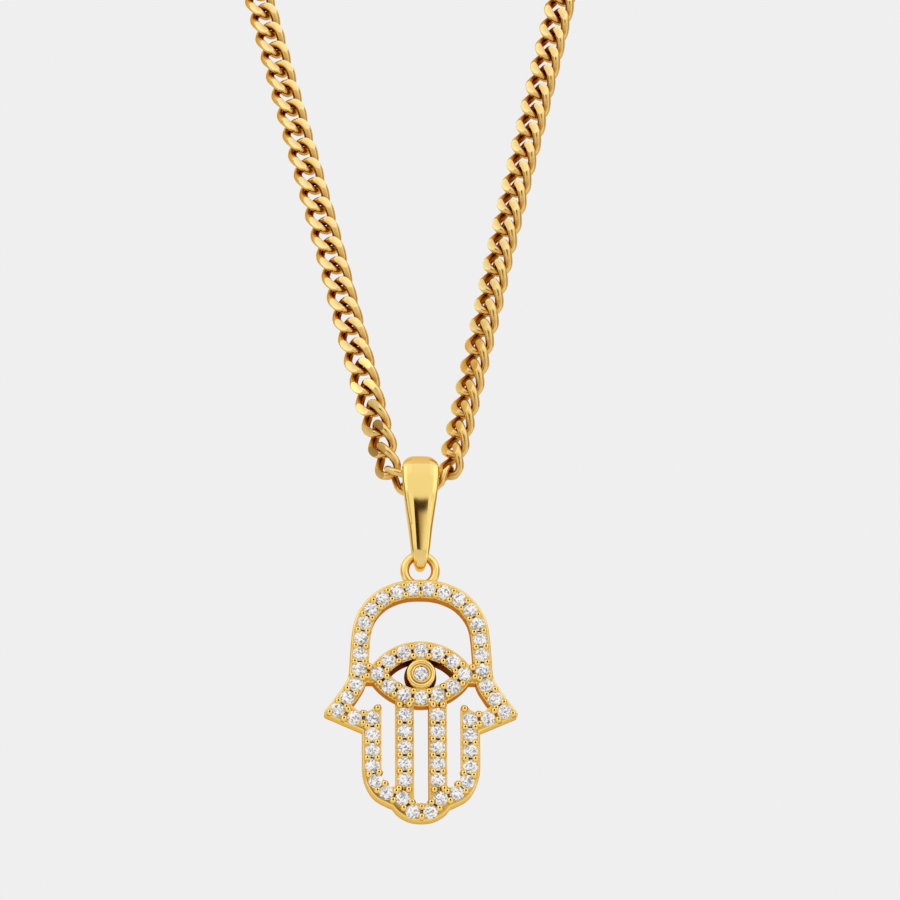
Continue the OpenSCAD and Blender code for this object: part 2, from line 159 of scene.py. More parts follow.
def along(points: Sequence[Sequence[float]], way: Sequence[float], s: float) -> tuple[float, ...]:
    """Finds a place on a curve.

    Args:
        points: Points of the curve.
        way: The way along the curve at each point.
        s: The way from the start to the place.

    Returns:
        The place.
    """
    if s <= way[0]:
        return tuple(points[0])
    for i in range(1, len(way)):
        if s <= way[i]:
            t = (s - way[i - 1]) / (way[i] - way[i - 1])
            return tuple(a + (b - a) * t for a, b in zip(points[i - 1], points[i]))
    return tuple(points[-1])


def aside(points: Sequence[Point], w: float) -> Loop:
    """Moves a curve sideways.

    Args:
        points: Points of the curve.
        w: How far to the right of its way it moves.

    Returns:
        The moved points.
    """
    moved: Loop = []
    last = len(points) - 1
    for i, p in enumerate(points):
        a, b = points[max(i - 1, 0)], points[min(i + 1, last)]
        along_x, along_y = b[0] - a[0], b[1] - a[1]
        if i == 0 and abs(p[0]) < ON_MIDDLE:
            along_x, along_y = 1.0, 0.0
        size = math.hypot(along_x, along_y)
        moved.append((p[0] + w * along_y / size, p[1] - w * along_x / size))
    return moved


def mirrored(half: Sequence[Point]) -> Loop:
    """Closes a right half over the middle, counter-clockwise.

    Args:
        half: The right half, from the top down.

    Returns:
        The whole outline.
    """
    least_x = 0.001
    left = [(-x, y) for x, y in half if x > least_x]
    return list(reversed(half)) + left


def circle(centre: Point, r: float, sides: int) -> Loop:
    """Draws a round outline, counter-clockwise.

    Args:
        centre: Its middle.
        r: Its radius.
        sides: Number of its points.

    Returns:
        The outline.
    """
    angles = (math.tau * k / sides for k in range(sides))
    return [(centre[0] + r * math.cos(a), centre[1] + r * math.sin(a)) for a in angles]


def is_inside(p: Point, loop: Sequence[Point]) -> bool:
    """Tells whether a point lies in an outline.

    Args:
        p: The point.
        loop: The outline.

    Returns:
        Whether it lies inside.
    """
    inside = False
    x, y = p
    for (x0, y0), (x1, y1) in zip(loop, list(loop[1:]) + [loop[0]]):
        if (y0 > y) != (y1 > y) and x < (x1 - x0) * (y - y0) / (y1 - y0) + x0:
            inside = not inside
    return inside


def triangles(loops: Sequence[Sequence[Point]], extra: Sequence[Point],
              keep: Callable[[Point], bool]) -> tuple[Loop, list[Triangle]]:
    """Fills a region of the plane with triangles along given outlines.

    Args:
        loops: Outlines whose edges the triangles follow.
        extra: Loose points that become corners of triangles.
        keep: Tells whether a place belongs to the region.

    Returns:
        The corners, and the triangles as numbers of corners, counter-clockwise.
    """
    points: list[Vector] = []
    edges: list[tuple[int, int]] = []
    for loop in loops:
        start = len(points)
        points += [Vector(p) for p in loop]
        edges += [(start + i, start + (i + 1) % len(loop)) for i in range(len(loop))]
    points += [Vector(p) for p in extra]
    same_place = 1e-5
    corners, _, faces, *_ = delaunay_2d_cdt(points, edges, [], 0, same_place)
    kept = []
    for face in faces:
        a, b, c = (corners[i] for i in face)
        if keep(((a.x + b.x + c.x) / 3, (a.y + b.y + c.y) / 3)):
            turn = (b.x - a.x) * (c.y - a.y) - (b.y - a.y) * (c.x - a.x)
            kept.append(tuple(face) if turn > 0 else tuple(reversed(face)))
    return [(v.x, v.y) for v in corners], kept


def borders(corners: Loop, faces: Sequence[Triangle], shortest: float) -> list[Loop]:
    """Reads the outlines of a region off its triangles, with the region on their left.

    Args:
        corners: Corners of the triangles.
        faces: The triangles.
        shortest: Length under which two neighbouring points become one.

    Returns:
        The outlines.
    """
    steps = {(f[i], f[(i + 1) % 3]) for f in faces for i in range(3)}
    onward = {a: b for a, b in steps if (b, a) not in steps}
    outlines: list[Loop] = []
    while onward:
        start = next(iter(onward))
        ring = [start]
        at = onward.pop(start)
        while at != start:
            ring.append(at)
            at = onward.pop(at)
        loop: Loop = []
        for i in ring:
            if not loop or gap(corners[i], loop[-1]) > shortest:
                loop.append(corners[i])
        if gap(loop[0], loop[-1]) <= shortest:
            loop.pop()
        outlines.append(loop)
    return outlines


def inset(loop: Sequence[Point], w: float) -> Loop:
    """Moves an outline sideways, with mitred corners.

    Args:
        loop: The outline.
        w: How far to the left of its way it moves.

    Returns:
        The moved outline.
    """
    moved: Loop = []
    n = len(loop)
    least_reach, no_length = 0.55, 1e-6
    for i, p in enumerate(loop):
        a, b = loop[i - 1], loop[(i + 1) % n]
        ax, ay = (p[0] - a[0]) / gap(p, a), (p[1] - a[1]) / gap(p, a)
        bx, by = (b[0] - p[0]) / gap(p, b), (b[1] - p[1]) / gap(p, b)
        nx, ny = -(ay + by), ax + bx
        size = math.hypot(nx, ny)
        if size < no_length:
            moved.append(p)
            continue
        nx, ny = nx / size, ny / size
        reach = max(-ay * nx + ax * ny, least_reach)
        moved.append((p[0] + w * nx / reach, p[1] + w * ny / reach))
    return moved


# Meshes


def put(name: str, mesh: bpy.types.Mesh, smooth_under: float | None = None) -> bpy.types.Object:
    """Puts a mesh into the scene.

    Args:
        name: Name of the object.
        mesh: The mesh.
        smooth_under: Largest angle in degrees that is shaded smooth, or None to keep the shading.

    Returns:
        The new object.
    """
    if smooth_under is not None:
        mesh.polygons.foreach_set("use_smooth", [True] * len(mesh.polygons))
        mesh.set_sharp_from_angle(angle=math.radians(smooth_under))
    obj = bpy.data.objects.new(name, mesh)
    bpy.context.scene.collection.objects.link(obj)
    return obj


def new_object(name: str, bm: bmesh.types.BMesh, smooth_under: float | None = None) -> bpy.types.Object:
    """Makes an object from a mesh under work, which is freed.

    Args:
        name: Name of the piece.
        bm: The mesh, in metres, in the row frame.
        smooth_under: Largest angle in degrees that is shaded smooth, or None to keep the shading.

    Returns:
        The new object, linked to the scene.
    """
    mesh = bpy.data.meshes.new(name)
    bm.to_mesh(mesh)
    bm.free()
    return put(name, mesh, smooth_under)


def join_sections(bm: bmesh.types.BMesh, sections: Sequence[Sequence[Vector]], ends: Ends) -> None:
    """Skins a row of closed sections with equal numbers of points.

    Args:
        bm: Mesh that takes the faces.
        sections: The sections, in order.
        ends: What becomes of the first and the last one.
    """
    rings = [[bm.verts.new(p) for p in section] for section in sections]
    m = len(rings[0])
    for i in range(len(rings) if ends is Ends.JOINED else len(rings) - 1):
        a, b = rings[i], rings[(i + 1) % len(rings)]
        for j in range(m):
            bm.faces.new((a[j], a[(j + 1) % m], b[(j + 1) % m], b[j]))
    if ends is Ends.CAPPED:
        bm.faces.new(list(reversed(rings[0])))
        bm.faces.new(rings[-1])


def face_outwards(bm: bmesh.types.BMesh, merge: float | None = None) -> None:
    """Merges doubled points where asked, and turns all faces outwards.

    Args:
        bm: The mesh.
        merge: Distance in metres under which points become one, or None to keep them all.
    """
    if merge is not None:
        bmesh.ops.remove_doubles(bm, verts=bm.verts, dist=merge)
    bmesh.ops.recalc_face_normals(bm, faces=bm.faces)


def baked(obj: bpy.types.Object, name: str, smooth_under: float | None = None) -> bpy.types.Object:
    """Turns what an object's modifiers make into a plain mesh in a new object, and removes the old one.

    Args:
        obj: Object with live modifiers.
        name: Name of the new piece.
        smooth_under: Largest angle in degrees that is shaded smooth, or None to keep the shading.

    Returns:
        The new object.
    """
    graph = bpy.context.evaluated_depsgraph_get()
    mesh = bpy.data.meshes.new_from_object(obj.evaluated_get(graph), depsgraph=graph)
    mesh.name = name
    for modifier in list(obj.modifiers):
        obj.modifiers.remove(modifier)
    bpy.data.objects.remove(obj)
    return put(name, mesh, smooth_under)


# Finishes, some with painted shade and painted reflections


@dataclass(frozen=True)
class GoldFinish:
    """Polished yellow gold, with a little unevenness left by casting and polishing."""

    name: str
    colour: Colour = (1.0, 0.75, 0.26)
    edge: Colour = (1.0, 0.88, 0.66)
    roughness: float = 0.14
    ripple: float = 0.0
    ripple_size: float = 0.4
    ripple_depth: float = 0.05

    def material(self) -> bpy.types.Material:
        """Makes the material.

        Returns:
            The finish as a material.
        """
        mat = bpy.data.materials.new(self.name)
        mat.use_nodes = True
        nodes, links = mat.node_tree.nodes, mat.node_tree.links
        shader = nodes["Principled BSDF"]
        shader.inputs["Base Color"].default_value = (*self.colour, 1.0)
        shader.inputs["Metallic"].default_value = 1.0
        shader.inputs["Specular Tint"].default_value = (*self.edge, 1.0)
        shader.inputs["Roughness"].default_value = self.roughness
        if self.ripple > 0:
            place = nodes.new("ShaderNodeTexCoord")
            noise = nodes.new("ShaderNodeTexNoise")
            noise.inputs["Scale"].default_value = 1 / (self.ripple_size * MM)
            noise.inputs["Detail"].default_value = 1.0
            bump = nodes.new("ShaderNodeBump")
            bump.inputs["Strength"].default_value = self.ripple
            bump.inputs["Distance"].default_value = self.ripple_depth * MM
            links.new(place.outputs["Object"], noise.inputs["Vector"])
            links.new(noise.outputs["Fac"], bump.inputs["Height"])
            links.new(bump.outputs["Normal"], shader.inputs["Normal"])
        return mat


@dataclass(frozen=True)
class GoldWithPaintedShade(GoldFinish):
    """Gold polished where it can be reached, matt on walls and in recesses, with shade painted darker there.
    """

    # Colours of the painted shade: a deeper tone, the shade on walls and the darkest shade in recesses
    deep: Colour = (0.86, 0.50, 0.06)
    wall: Colour = (0.74, 0.37, 0.085)
    painted_shade: Colour = (0.30, 0.14, 0.04)
    wall_roughness: float = 0.42

    # Where the mesh's level of painted shade gives the deep shade colour and the wall's shade colour
    deep_level: float = 0.25
    wall_level: float = 0.5

    def material(self) -> bpy.types.Material:
        """Makes the material, which turns the mesh's levels of painted shade into darker colour.

        Returns:
            The finish as a material.
        """
        mat = super().material()
        nodes, links = mat.node_tree.nodes, mat.node_tree.links
        shader = nodes["Principled BSDF"]
        shade_level = nodes.new("ShaderNodeAttribute")
        shade_level.attribute_name = "painted_shade"
        tint = nodes.new("ShaderNodeValToRGB")
        shades = (
            (0.0, self.colour), (self.deep_level, self.deep), (self.wall_level, self.wall),
            (1.0, self.painted_shade),
        )
        while len(tint.color_ramp.elements) < len(shades):
            tint.color_ramp.elements.new(0.5)
        for element, (position, colour) in zip(tint.color_ramp.elements, shades):
            element.position = position
            element.color = (*colour, 1.0)
        rough = nodes.new("ShaderNodeMapRange")
        rough.inputs["From Max"].default_value = self.wall_level
        rough.inputs["To Min"].default_value = self.roughness
        rough.inputs["To Max"].default_value = self.wall_roughness
        # The painted shade darkens the colour and its reflections, and more of it goes with a rougher surface
        links.new(shade_level.outputs["Fac"], tint.inputs["Fac"])
        links.new(shade_level.outputs["Fac"], rough.inputs["Value"])
        links.new(tint.outputs["Color"], shader.inputs["Base Color"])
        links.new(tint.outputs["Color"], shader.inputs["Specular Tint"])
        links.new(rough.outputs["Result"], shader.inputs["Roughness"])
        return mat


@dataclass(frozen=True)
class StoneFinish:
    """Clear cut stone whose many inner reflections are painted as small white and grey flecks that glow a
    little.
    """

    name: str
    refraction: float = 2.1
    # Size of the painted reflection flecks in millimetres, and strength of their painted glow
    fleck: float = 0.14
    glow: float = 0.2
    roughness: float = 0.03
    tint: Colour = (1.0, 0.985, 0.95)
    # Grey of the painted reflection flecks, each from a share of all flecks on
    greys: tuple[Point, ...] = ((0.0, 0.17), (0.13, 0.38), (0.32, 0.61), (0.56, 0.85))

    def material(self) -> bpy.types.Material:
        """Makes the material.

        Returns:
            The finish as a material.
        """
        mat = bpy.data.materials.new(self.name)
        mat.use_nodes = True
        nodes, links = mat.node_tree.nodes, mat.node_tree.links
        shader = nodes["Principled BSDF"]
        place = nodes.new("ShaderNodeTexCoord")
        cells = nodes.new("ShaderNodeTexVoronoi")
        cells.inputs["Scale"].default_value = 1 / (self.fleck * MM)
        parts = nodes.new("ShaderNodeSeparateColor")
        shades = nodes.new("ShaderNodeValToRGB")
        shades.color_ramp.interpolation = "CONSTANT"
        while len(shades.color_ramp.elements) < len(self.greys):
            shades.color_ramp.elements.new(0.5)
        for element, (position, grey) in zip(shades.color_ramp.elements, self.greys):
            element.position = position
            element.color = (*(grey * part for part in self.tint), 1.0)
        shader.inputs["Roughness"].default_value = self.roughness
        shader.inputs["IOR"].default_value = self.refraction
        # The painted flecks also glow a little, so that they stay bright
        shader.inputs["Emission Strength"].default_value = self.glow
        links.new(place.outputs["Object"], cells.inputs["Vector"])
        links.new(cells.outputs["Color"], parts.inputs["Color"])
        links.new(parts.outputs["Red"], shades.inputs["Fac"])
        links.new(shades.outputs["Color"], shader.inputs["Base Color"])
        links.new(shades.outputs["Color"], shader.inputs["Emission Color"])
        return mat


# Node trees that set copies of a small shape


class Tree:
    """A Geometry Nodes tree under work, with named inputs."""

    def __init__(self, name: str) -> None:
        """Starts an empty tree with a way in and a way out.

        Args:
            name: Name of the tree.
        """
        self.tree = bpy.data.node_groups.new(name, "GeometryNodeTree")
        self.tree.interface.new_socket("Geometry", in_out="INPUT", socket_type="NodeSocketGeometry")
        self.tree.interface.new_socket("Geometry", in_out="OUTPUT", socket_type="NodeSocketGeometry")
        self.way_in = self.tree.nodes.new("NodeGroupInput")
        self.way_out = self.tree.nodes.new("NodeGroupOutput")

    def entry(self, name: str, kind: str, value: object = None) -> bpy.types.NodeSocket:
        """Adds a named input.

        Args:
            name: Name of the input.
            kind: Socket type, such as NodeSocketFloat.
            value: Value that it starts with.

        Returns:
            The socket that carries it into the tree.
        """
        item = self.tree.interface.new_socket(name, in_out="INPUT", socket_type=kind)
        if value is not None:
            item.default_value = value
        return self.way_in.outputs[name]

    def node(self, kind: str, inputs: dict[str | int, object] | None = None,
             **settings: object) -> bpy.types.Node:
        """Adds a node.

        Args:
            kind: Type of the node.
            inputs: Value or source of each of its sockets.
            **settings: Its own settings, which are made before its sockets are used.

        Returns:
            The node.
        """
        node = self.tree.nodes.new(kind)
        for key, value in settings.items():
            setattr(node, key, value)
        for key, value in (inputs or {}).items():
            if isinstance(value, bpy.types.NodeSocket):
                self.tree.links.new(value, node.inputs[key])
            else:
                node.inputs[key].default_value = value
        return node

    def finish(self, instances: bpy.types.NodeSocket, material: bpy.types.NodeSocket) -> bpy.types.NodeTree:
        """Ends the tree in real geometry with one material.

        Args:
            instances: The copies.
            material: The input that carries their material.

        Returns:
            The finished tree.
        """
        real = self.node("GeometryNodeRealizeInstances", {0: instances})
        painted = self.node("GeometryNodeSetMaterial", {"Geometry": real.outputs[0], "Material": material})
        self.tree.links.new(painted.outputs[0], self.way_out.inputs[0])
        return self.tree


def chain_tree() -> bpy.types.NodeTree:
    """Makes the tree that threads links along a path.

    Returns:
        The tree. The path's attributes run, face and girth turn and size its links.
    """
    tree = Tree("links_on_a_path")
    shape = tree.entry("Link", "NodeSocketObject")
    count = tree.entry("Count", "NodeSocketInt", 10)
    material = tree.entry("Material", "NodeSocketMaterial")
    path = tree.node("GeometryNodeMeshToCurve", {"Mesh": tree.way_in.outputs["Geometry"]})
    points = tree.node("GeometryNodeResampleCurve", {"Curve": path.outputs[0], "Count": count})
    run = tree.node("GeometryNodeInputNamedAttribute", {"Name": "run"}, data_type="FLOAT_VECTOR")
    face = tree.node("GeometryNodeInputNamedAttribute", {"Name": "face"}, data_type="FLOAT_VECTOR")
    girth = tree.node("GeometryNodeInputNamedAttribute", {"Name": "girth"}, data_type="FLOAT_VECTOR")
    lengthwise = tree.node("FunctionNodeAlignRotationToVector", {"Vector": run.outputs[0]}, axis="X")
    faced = tree.node(
        "FunctionNodeAlignRotationToVector",
        {"Rotation": lengthwise.outputs[0], "Vector": face.outputs[0]}, axis="Z", pivot_axis="X",
    )
    link = tree.node("GeometryNodeObjectInfo", {"Object": shape})
    copies = tree.node(
        "GeometryNodeInstanceOnPoints",
        {
            "Points": points.outputs[0], "Instance": link.outputs["Geometry"], "Rotation": faced.outputs[0],
            "Scale": girth.outputs[0],
        },
    )
    return tree.finish(copies.outputs[0], material)


def setting_tree() -> bpy.types.NodeTree:
    """Makes the tree that puts a shape on each point.

    Returns:
        The tree. The point's size sizes the shape, and the seed turns it about its own axis.
    """
    tree = Tree("shapes_on_points")
    shape = tree.entry("Shape", "NodeSocketObject")
    turn = tree.entry("Turn", "NodeSocketFloat", 0.0)
    seed = tree.entry("Seed", "NodeSocketInt", 0)
    material = tree.entry("Material", "NodeSocketMaterial")
    size = tree.node("GeometryNodeInputNamedAttribute", {"Name": "size"}, data_type="FLOAT")
    chance = tree.node("FunctionNodeRandomValue", {RANDOM_MOST: turn, "Seed": seed}, data_type="FLOAT")
    angle = tree.node("ShaderNodeCombineXYZ", {"Y": chance.outputs[1]})
    rotation = tree.node("FunctionNodeEulerToRotation", {0: angle.outputs[0]})
    body = tree.node("GeometryNodeObjectInfo", {"Object": shape})
    copies = tree.node(
        "GeometryNodeInstanceOnPoints",
        {
            "Points": tree.way_in.outputs["Geometry"], "Instance": body.outputs["Geometry"],
            "Rotation": rotation.outputs[0], "Scale": size.outputs[0],
        },
    )
    return tree.finish(copies.outputs[0], material)


def edging_tree() -> bpy.types.NodeTree:
    """Makes the tree that rows a shape along outlines.

    Returns:
        The tree. The spacing is even, and the seed makes the sizes uneven.
    """
    tree = Tree("shapes_along_edges")
    shape = tree.entry("Shape", "NodeSocketObject")
    spacing = tree.entry("Spacing", "NodeSocketFloat", 0.001)
    smallest = tree.entry("Smallest", "NodeSocketFloat", 0.7)
    seed = tree.entry("Seed", "NodeSocketInt", 0)
    material = tree.entry("Material", "NodeSocketMaterial")
    path = tree.node("GeometryNodeMeshToCurve", {"Mesh": tree.way_in.outputs["Geometry"]})
    points = tree.node(
        "GeometryNodeResampleCurve", {"Curve": path.outputs[0], "Length": spacing}, mode="LENGTH",
    )
    tangent = tree.node("GeometryNodeInputTangent")
    lengthwise = tree.node("FunctionNodeAlignRotationToVector", {"Vector": tangent.outputs[0]}, axis="X")
    limits = {RANDOM_LEAST: smallest, RANDOM_MOST: 1.0, "Seed": seed}
    size = tree.node("FunctionNodeRandomValue", limits, data_type="FLOAT")
    body = tree.node("GeometryNodeObjectInfo", {"Object": shape})
    copies = tree.node(
        "GeometryNodeInstanceOnPoints",
        {
            "Points": points.outputs[0], "Instance": body.outputs["Geometry"],
            "Rotation": lengthwise.outputs[0], "Scale": size.outputs[1],
        },
    )
    return tree.finish(copies.outputs[0], material)


def grow(host: bpy.types.Object, tree: bpy.types.NodeTree, inputs: dict[str, object], name: str,
         smooth_under: float | None = None) -> bpy.types.Object:
    """Runs a tree on a host object and keeps the result as a plain mesh.

    Args:
        host: Object with the points or paths, which is used up.
        tree: The tree.
        inputs: Value of each named input.
        name: Name of the piece.
        smooth_under: Largest angle in degrees that is shaded smooth, or None to keep the shading.

    Returns:
        The piece.
    """
    modifier = host.modifiers.new("grow", "NODES")
    modifier.node_group = tree
    keys = {item.name: item.identifier for item in tree.interface.items_tree if item.in_out == "INPUT"}
    for key, value in inputs.items():
        modifier[keys[key]] = value
    return baked(host, name, smooth_under)


def host_of_points(name: str, points: Sequence[Vector], sizes: Sequence[float]) -> bpy.types.Object:
    """Makes an object of loose points, each with a size.

    Args:
        name: Name of the object.
        points: The points.
        sizes: Size at each point.

    Returns:
        The object.
    """
    mesh = bpy.data.meshes.new(name)
    mesh.from_pydata(points, [], [])
    mesh.attributes.new("size", "FLOAT", "POINT").data.foreach_set("value", sizes)
    return put(name, mesh)


def host_of_paths(name: str, paths: Sequence[Sequence[Vector]], closed: bool,
                  directions: dict[str, Sequence[Vector]] | None = None) -> bpy.types.Object:
    """Makes an object of open or closed paths of edges.

    Args:
        name: Name of the object.
        paths: The points of each path.
        closed: Whether each path's end joins its start.
        directions: Vectors that the points carry, for each attribute.

    Returns:
        The object.
    """
    points: list[Vector] = []
    edges: list[tuple[int, int]] = []
    for path in paths:
        start = len(points)
        points += path
        edges += [(start + i, start + i + 1) for i in range(len(path) - 1)]
        if closed:
            edges.append((start + len(path) - 1, start))
    mesh = bpy.data.meshes.new(name)
    mesh.from_pydata(points, edges, [])
    for key, vectors in (directions or {}).items():
        flat = [value for vector in vectors for value in vector]
        mesh.attributes.new(key, "FLOAT_VECTOR", "POINT").data.foreach_set("vector", flat)
    return put(name, mesh)


def drop_helper(helper: bpy.types.Object) -> None:
    """Removes a shape that was only copied from."""
    bpy.data.objects.remove(helper)


# The hand


@dataclass
class HandPlan:
    """Plan of the open hand in millimetres, seen from the front and measured from the middle of the eye."""

    width: float = 18.6
    height: float = 23.9
    outer_rim: float = 0.30
    inner_rim: float = 0.22
    slot_w: float = 1.44
    tip_r: float = 0.3
    eye_w: float = 8.4
    eye_h: float = 4.7
    eye_joint_h: float = 1.8
    bezel_d: float = 2.78
    pupil_squeeze: float = 0.9
    stone_d: float = 1.3
    stone_gap: float = 0.17
    steps: int = 6

    # How far rows of stones stop before the end of the arch and of the finger, as shares of row_in
    arch_stop: float = 0.8
    finger_stop: float = 1.1
    # Angles on the thumb's tip, in degrees: where the arch ends, the limit and the step
    tip_turns: tuple[int, int, int] = (35, -66, -20)
    # Way of the free beads from the thumb's tip, and from the corner of the outer slot
    tip_bead_way: Point = (-0.2, 0.0)
    slot_bead_way: Point = (0.35, -0.4)

    # Shares of half the width and of the height, for places along the right half
    arch_shares: tuple[Point, ...] = (
        (0, 0.394), (0.215, 0.3854), (0.409, 0.3557), (0.538, 0.3162), (0.634, 0.2674), (0.6925, 0.2127),
        (0.718, 0.1507), (0.731, 0.0862), (0.7495, -0.0068), (0.800, -0.050), (0.902, -0.107),
    )
    tip_share: float = -0.162
    finger_shares: tuple[Point, ...] = (
        (0.6075, -0.236), (0.6075, -0.380), (0.590, -0.4335), (0.539, -0.480), (0.467, -0.5135),
        (0.365, -0.536), (0.300, -0.547),
    )
    lobe_shares: tuple[Point, ...] = (
        (0.300, -0.547), (0.254, -0.569), (0.188, -0.588), (0.100, -0.602), (0, -0.606),
    )
    thumb_shares: tuple[Point, ...] = ((0.915, -0.184), (0.790, -0.2055), (0.6075, -0.236))
    horn_shares: tuple[Point, ...] = (
        (0.718, -0.131), (0.650, -0.154), (0.560, -0.157), (0.480, -0.140), (0.420, -0.127),
    )
    thumb_stone_share: Point = (0.690, -0.1845)
    lobe_stone_shares: tuple[Point, ...] = ((0.195, -0.514), (0.090, -0.569))
    finger_top_share: float = -0.1875
    bar_top_share: float = -0.170
    bar_foot_share: float = -0.4375
    slot_foot_share: float = -0.466
    centre_foot_share: float = -0.533
    slot_corner_share: float = -0.424
    horn_r: float = 0.2

    def __post_init__(self) -> None:
        """Works out the curves, the stones and the beads."""
        self.row_in = self.outer_rim + self.stone_d / 2
        self.band_w = self.outer_rim + self.stone_d + self.inner_rim
        self.bar_w = self.stone_d + 2 * self.inner_rim
        self.bar_x = self.slot_w / 2 + self.bar_w / 2
        self.pitch = self.stone_d + self.stone_gap
        self.tip = (self.width / 2 - self.tip_r, self.tip_share * self.height)
        self.arch_edge = self._smooth([*map(self.at, self.arch_shares), self._on_tip(self.tip_turns[0])])
        self.finger_edge = self._smooth([*map(self.at, self.finger_shares)])
        self.lobe_edge = self._smooth([*map(self.at, self.lobe_shares)])
        self.horn_edge = self._smooth([*map(self.at, self.horn_shares)])
        self.horn_y = self.horn_edge[-1][1]
        self.slot_x = self.finger_edge[0][0] - self.band_w
        self.arc_r = (self.eye_w ** 2 + self.eye_h ** 2) / (4 * self.eye_h)
        self.arc_y = self.arc_r - self.eye_h / 2
        self._place_stones()
        self._place_beads()

    def at(self, share: Point) -> Point:
        """Returns a place from its shares."""
        return (share[0] * self.width / 2, share[1] * self.height)

    def _smooth(self, points: Sequence[Point]) -> Loop:
        """Returns a smooth curve through points of the plan."""
        return [(p[0], p[1]) for p in spline(points, self.steps)]

    def _on_tip(self, angle: float) -> Point:
        """Returns the place at an angle on the thumb's rounded tip."""
        a = math.radians(angle)
        return (self.tip[0] + self.tip_r * math.cos(a), self.tip[1] + self.tip_r * math.sin(a))

    def _gaps_in(self, way: float) -> int:
        """Returns how many spaces between stones fit a way."""
        slack = 0.02
        return max(1, math.floor(way / self.pitch + slack))

    def _place_stones(self) -> None:
        """Lays the rows of stones on the right half and on the eye."""
        path = aside(self.arch_edge, self.row_in)
        way = lengths(path)
        end = way[-1] - self.row_in * self.arch_stop
        spaces = 2 * math.floor((2 * end / self.pitch - 1) / 2) + 1
        self.arch_row = [
            along(path, way, (i + 0.5) * 2 * end / spaces) for i in range((spaces - 1) // 2 + 1)
        ]
        top = self.finger_top_share * self.height
        path = [p for p in aside(self.finger_edge, self.row_in) if p[1] < top]
        path = [(path[0][0], top), *path]
        way = lengths(path)
        end = way[-1] - self.row_in * self.finger_stop
        spaces = self._gaps_in(end)
        self.finger_row = [along(path, way, end * i / spaces) for i in range(spaces + 1)]
        spaces = self._gaps_in((self.bar_top_share - self.bar_foot_share) * self.height)
        rise = (self.bar_foot_share - self.bar_top_share) / spaces
        self.bar_row = [
            (self.bar_x, self.height * (self.bar_top_share + rise * i)) for i in range(spaces + 1)
        ]
        self.thumb_stone = self.at(self.thumb_stone_share)
        self.lobe_row = [self.at(s) for s in self.lobe_stone_shares]
        half = math.asin(self.eye_w / 2 / self.arc_r)
        spaces = 2 * math.floor(self.arc_r * half / self.pitch)
        angles = [half * (2 * i / spaces - 1) for i in range(spaces + 1)]
        self.eye_top = [
            (self.arc_r * math.sin(a), self.arc_r * math.cos(a) - self.arc_y) for a in angles
        ]
        self.eye_low = [(x, -y) for x, y in self.eye_top]
        right = [*self.arch_row, self.thumb_stone, *self.finger_row, *self.lobe_row, *self.bar_row]
        self.stones = [*right, *self.flip(right), *self.eye_top, *self.eye_low[1:-1]]

    def _place_beads(self) -> None:
        """Puts two beads between each two neighbouring stones, and one at each free corner."""
        right = [
            *zip(self.arch_row, self.arch_row[1:]), (self.arch_row[-1], self.thumb_stone),
            (self.thumb_stone, self.finger_row[0]), *zip(self.finger_row, self.finger_row[1:]),
            (self.finger_row[-1], self.lobe_row[0]), (self.lobe_row[0], self.lobe_row[1]),
            *zip(self.bar_row, self.bar_row[1:]), (self.bar_row[-1], self.lobe_row[0]),
            (self.nearest(self.bar_row[0], self.eye_low), self.bar_row[0]),
            (self.eye_top[-1], self.nearest(self.eye_top[-1], self.arch_row)),
        ]
        first, last = self.arch_row[0], self.lobe_row[1]
        middle = [((-first[0], first[1]), first), (last, (-last[0], last[1]))]
        eye = [*zip(self.eye_top, self.eye_top[1:]), *zip(self.eye_low, self.eye_low[1:])]
        self.right_pairs, self.middle_pairs = right, [*middle, *eye]
        corners = [
            add(self.tip, self.tip_bead_way, 1.0), add((self.slot_x, self.horn_y), self.slot_bead_way, 1.0),
        ]
        self.corner_beads = [*corners, *self.flip(corners)]

    def neighbours(self) -> list[tuple[Point, Point]]:
        """Returns all pairs of neighbouring stones."""
        left = [((-a[0], a[1]), (-b[0], b[1])) for a, b in self.right_pairs]
        return [*self.right_pairs, *left, *self.middle_pairs]

    def beads(self, out: float) -> Loop:
        """Places the beads, a pair between each two neighbouring stones.

        Args:
            out: How far each bead lies beside its row.

        Returns:
            The places.
        """
        places = list(self.corner_beads)
        for a, b in self.neighbours():
            size = gap(a, b)
            side = ((b[1] - a[1]) / size, -(b[0] - a[0]) / size)
            middle = ((a[0] + b[0]) / 2, (a[1] + b[1]) / 2)
            places += [add(middle, side, out), add(middle, side, -out)]
        return places

    @staticmethod
    def flip(row: Sequence[Point]) -> Loop:
        """Returns a row's mirror image."""
        return [(-x, y) for x, y in row]

    @staticmethod
    def nearest(p: Point, row: Sequence[Point]) -> Point:
        """Returns the stone of a row that is nearest to a place."""
        return min(row, key=lambda q: gap(p, q))

    def outlines(self) -> list[Loop]:
        """Draws the outlines of the pierced metal.

        Returns:
            The outer edge first and then the windows, each with the metal on the left of its way.
        """
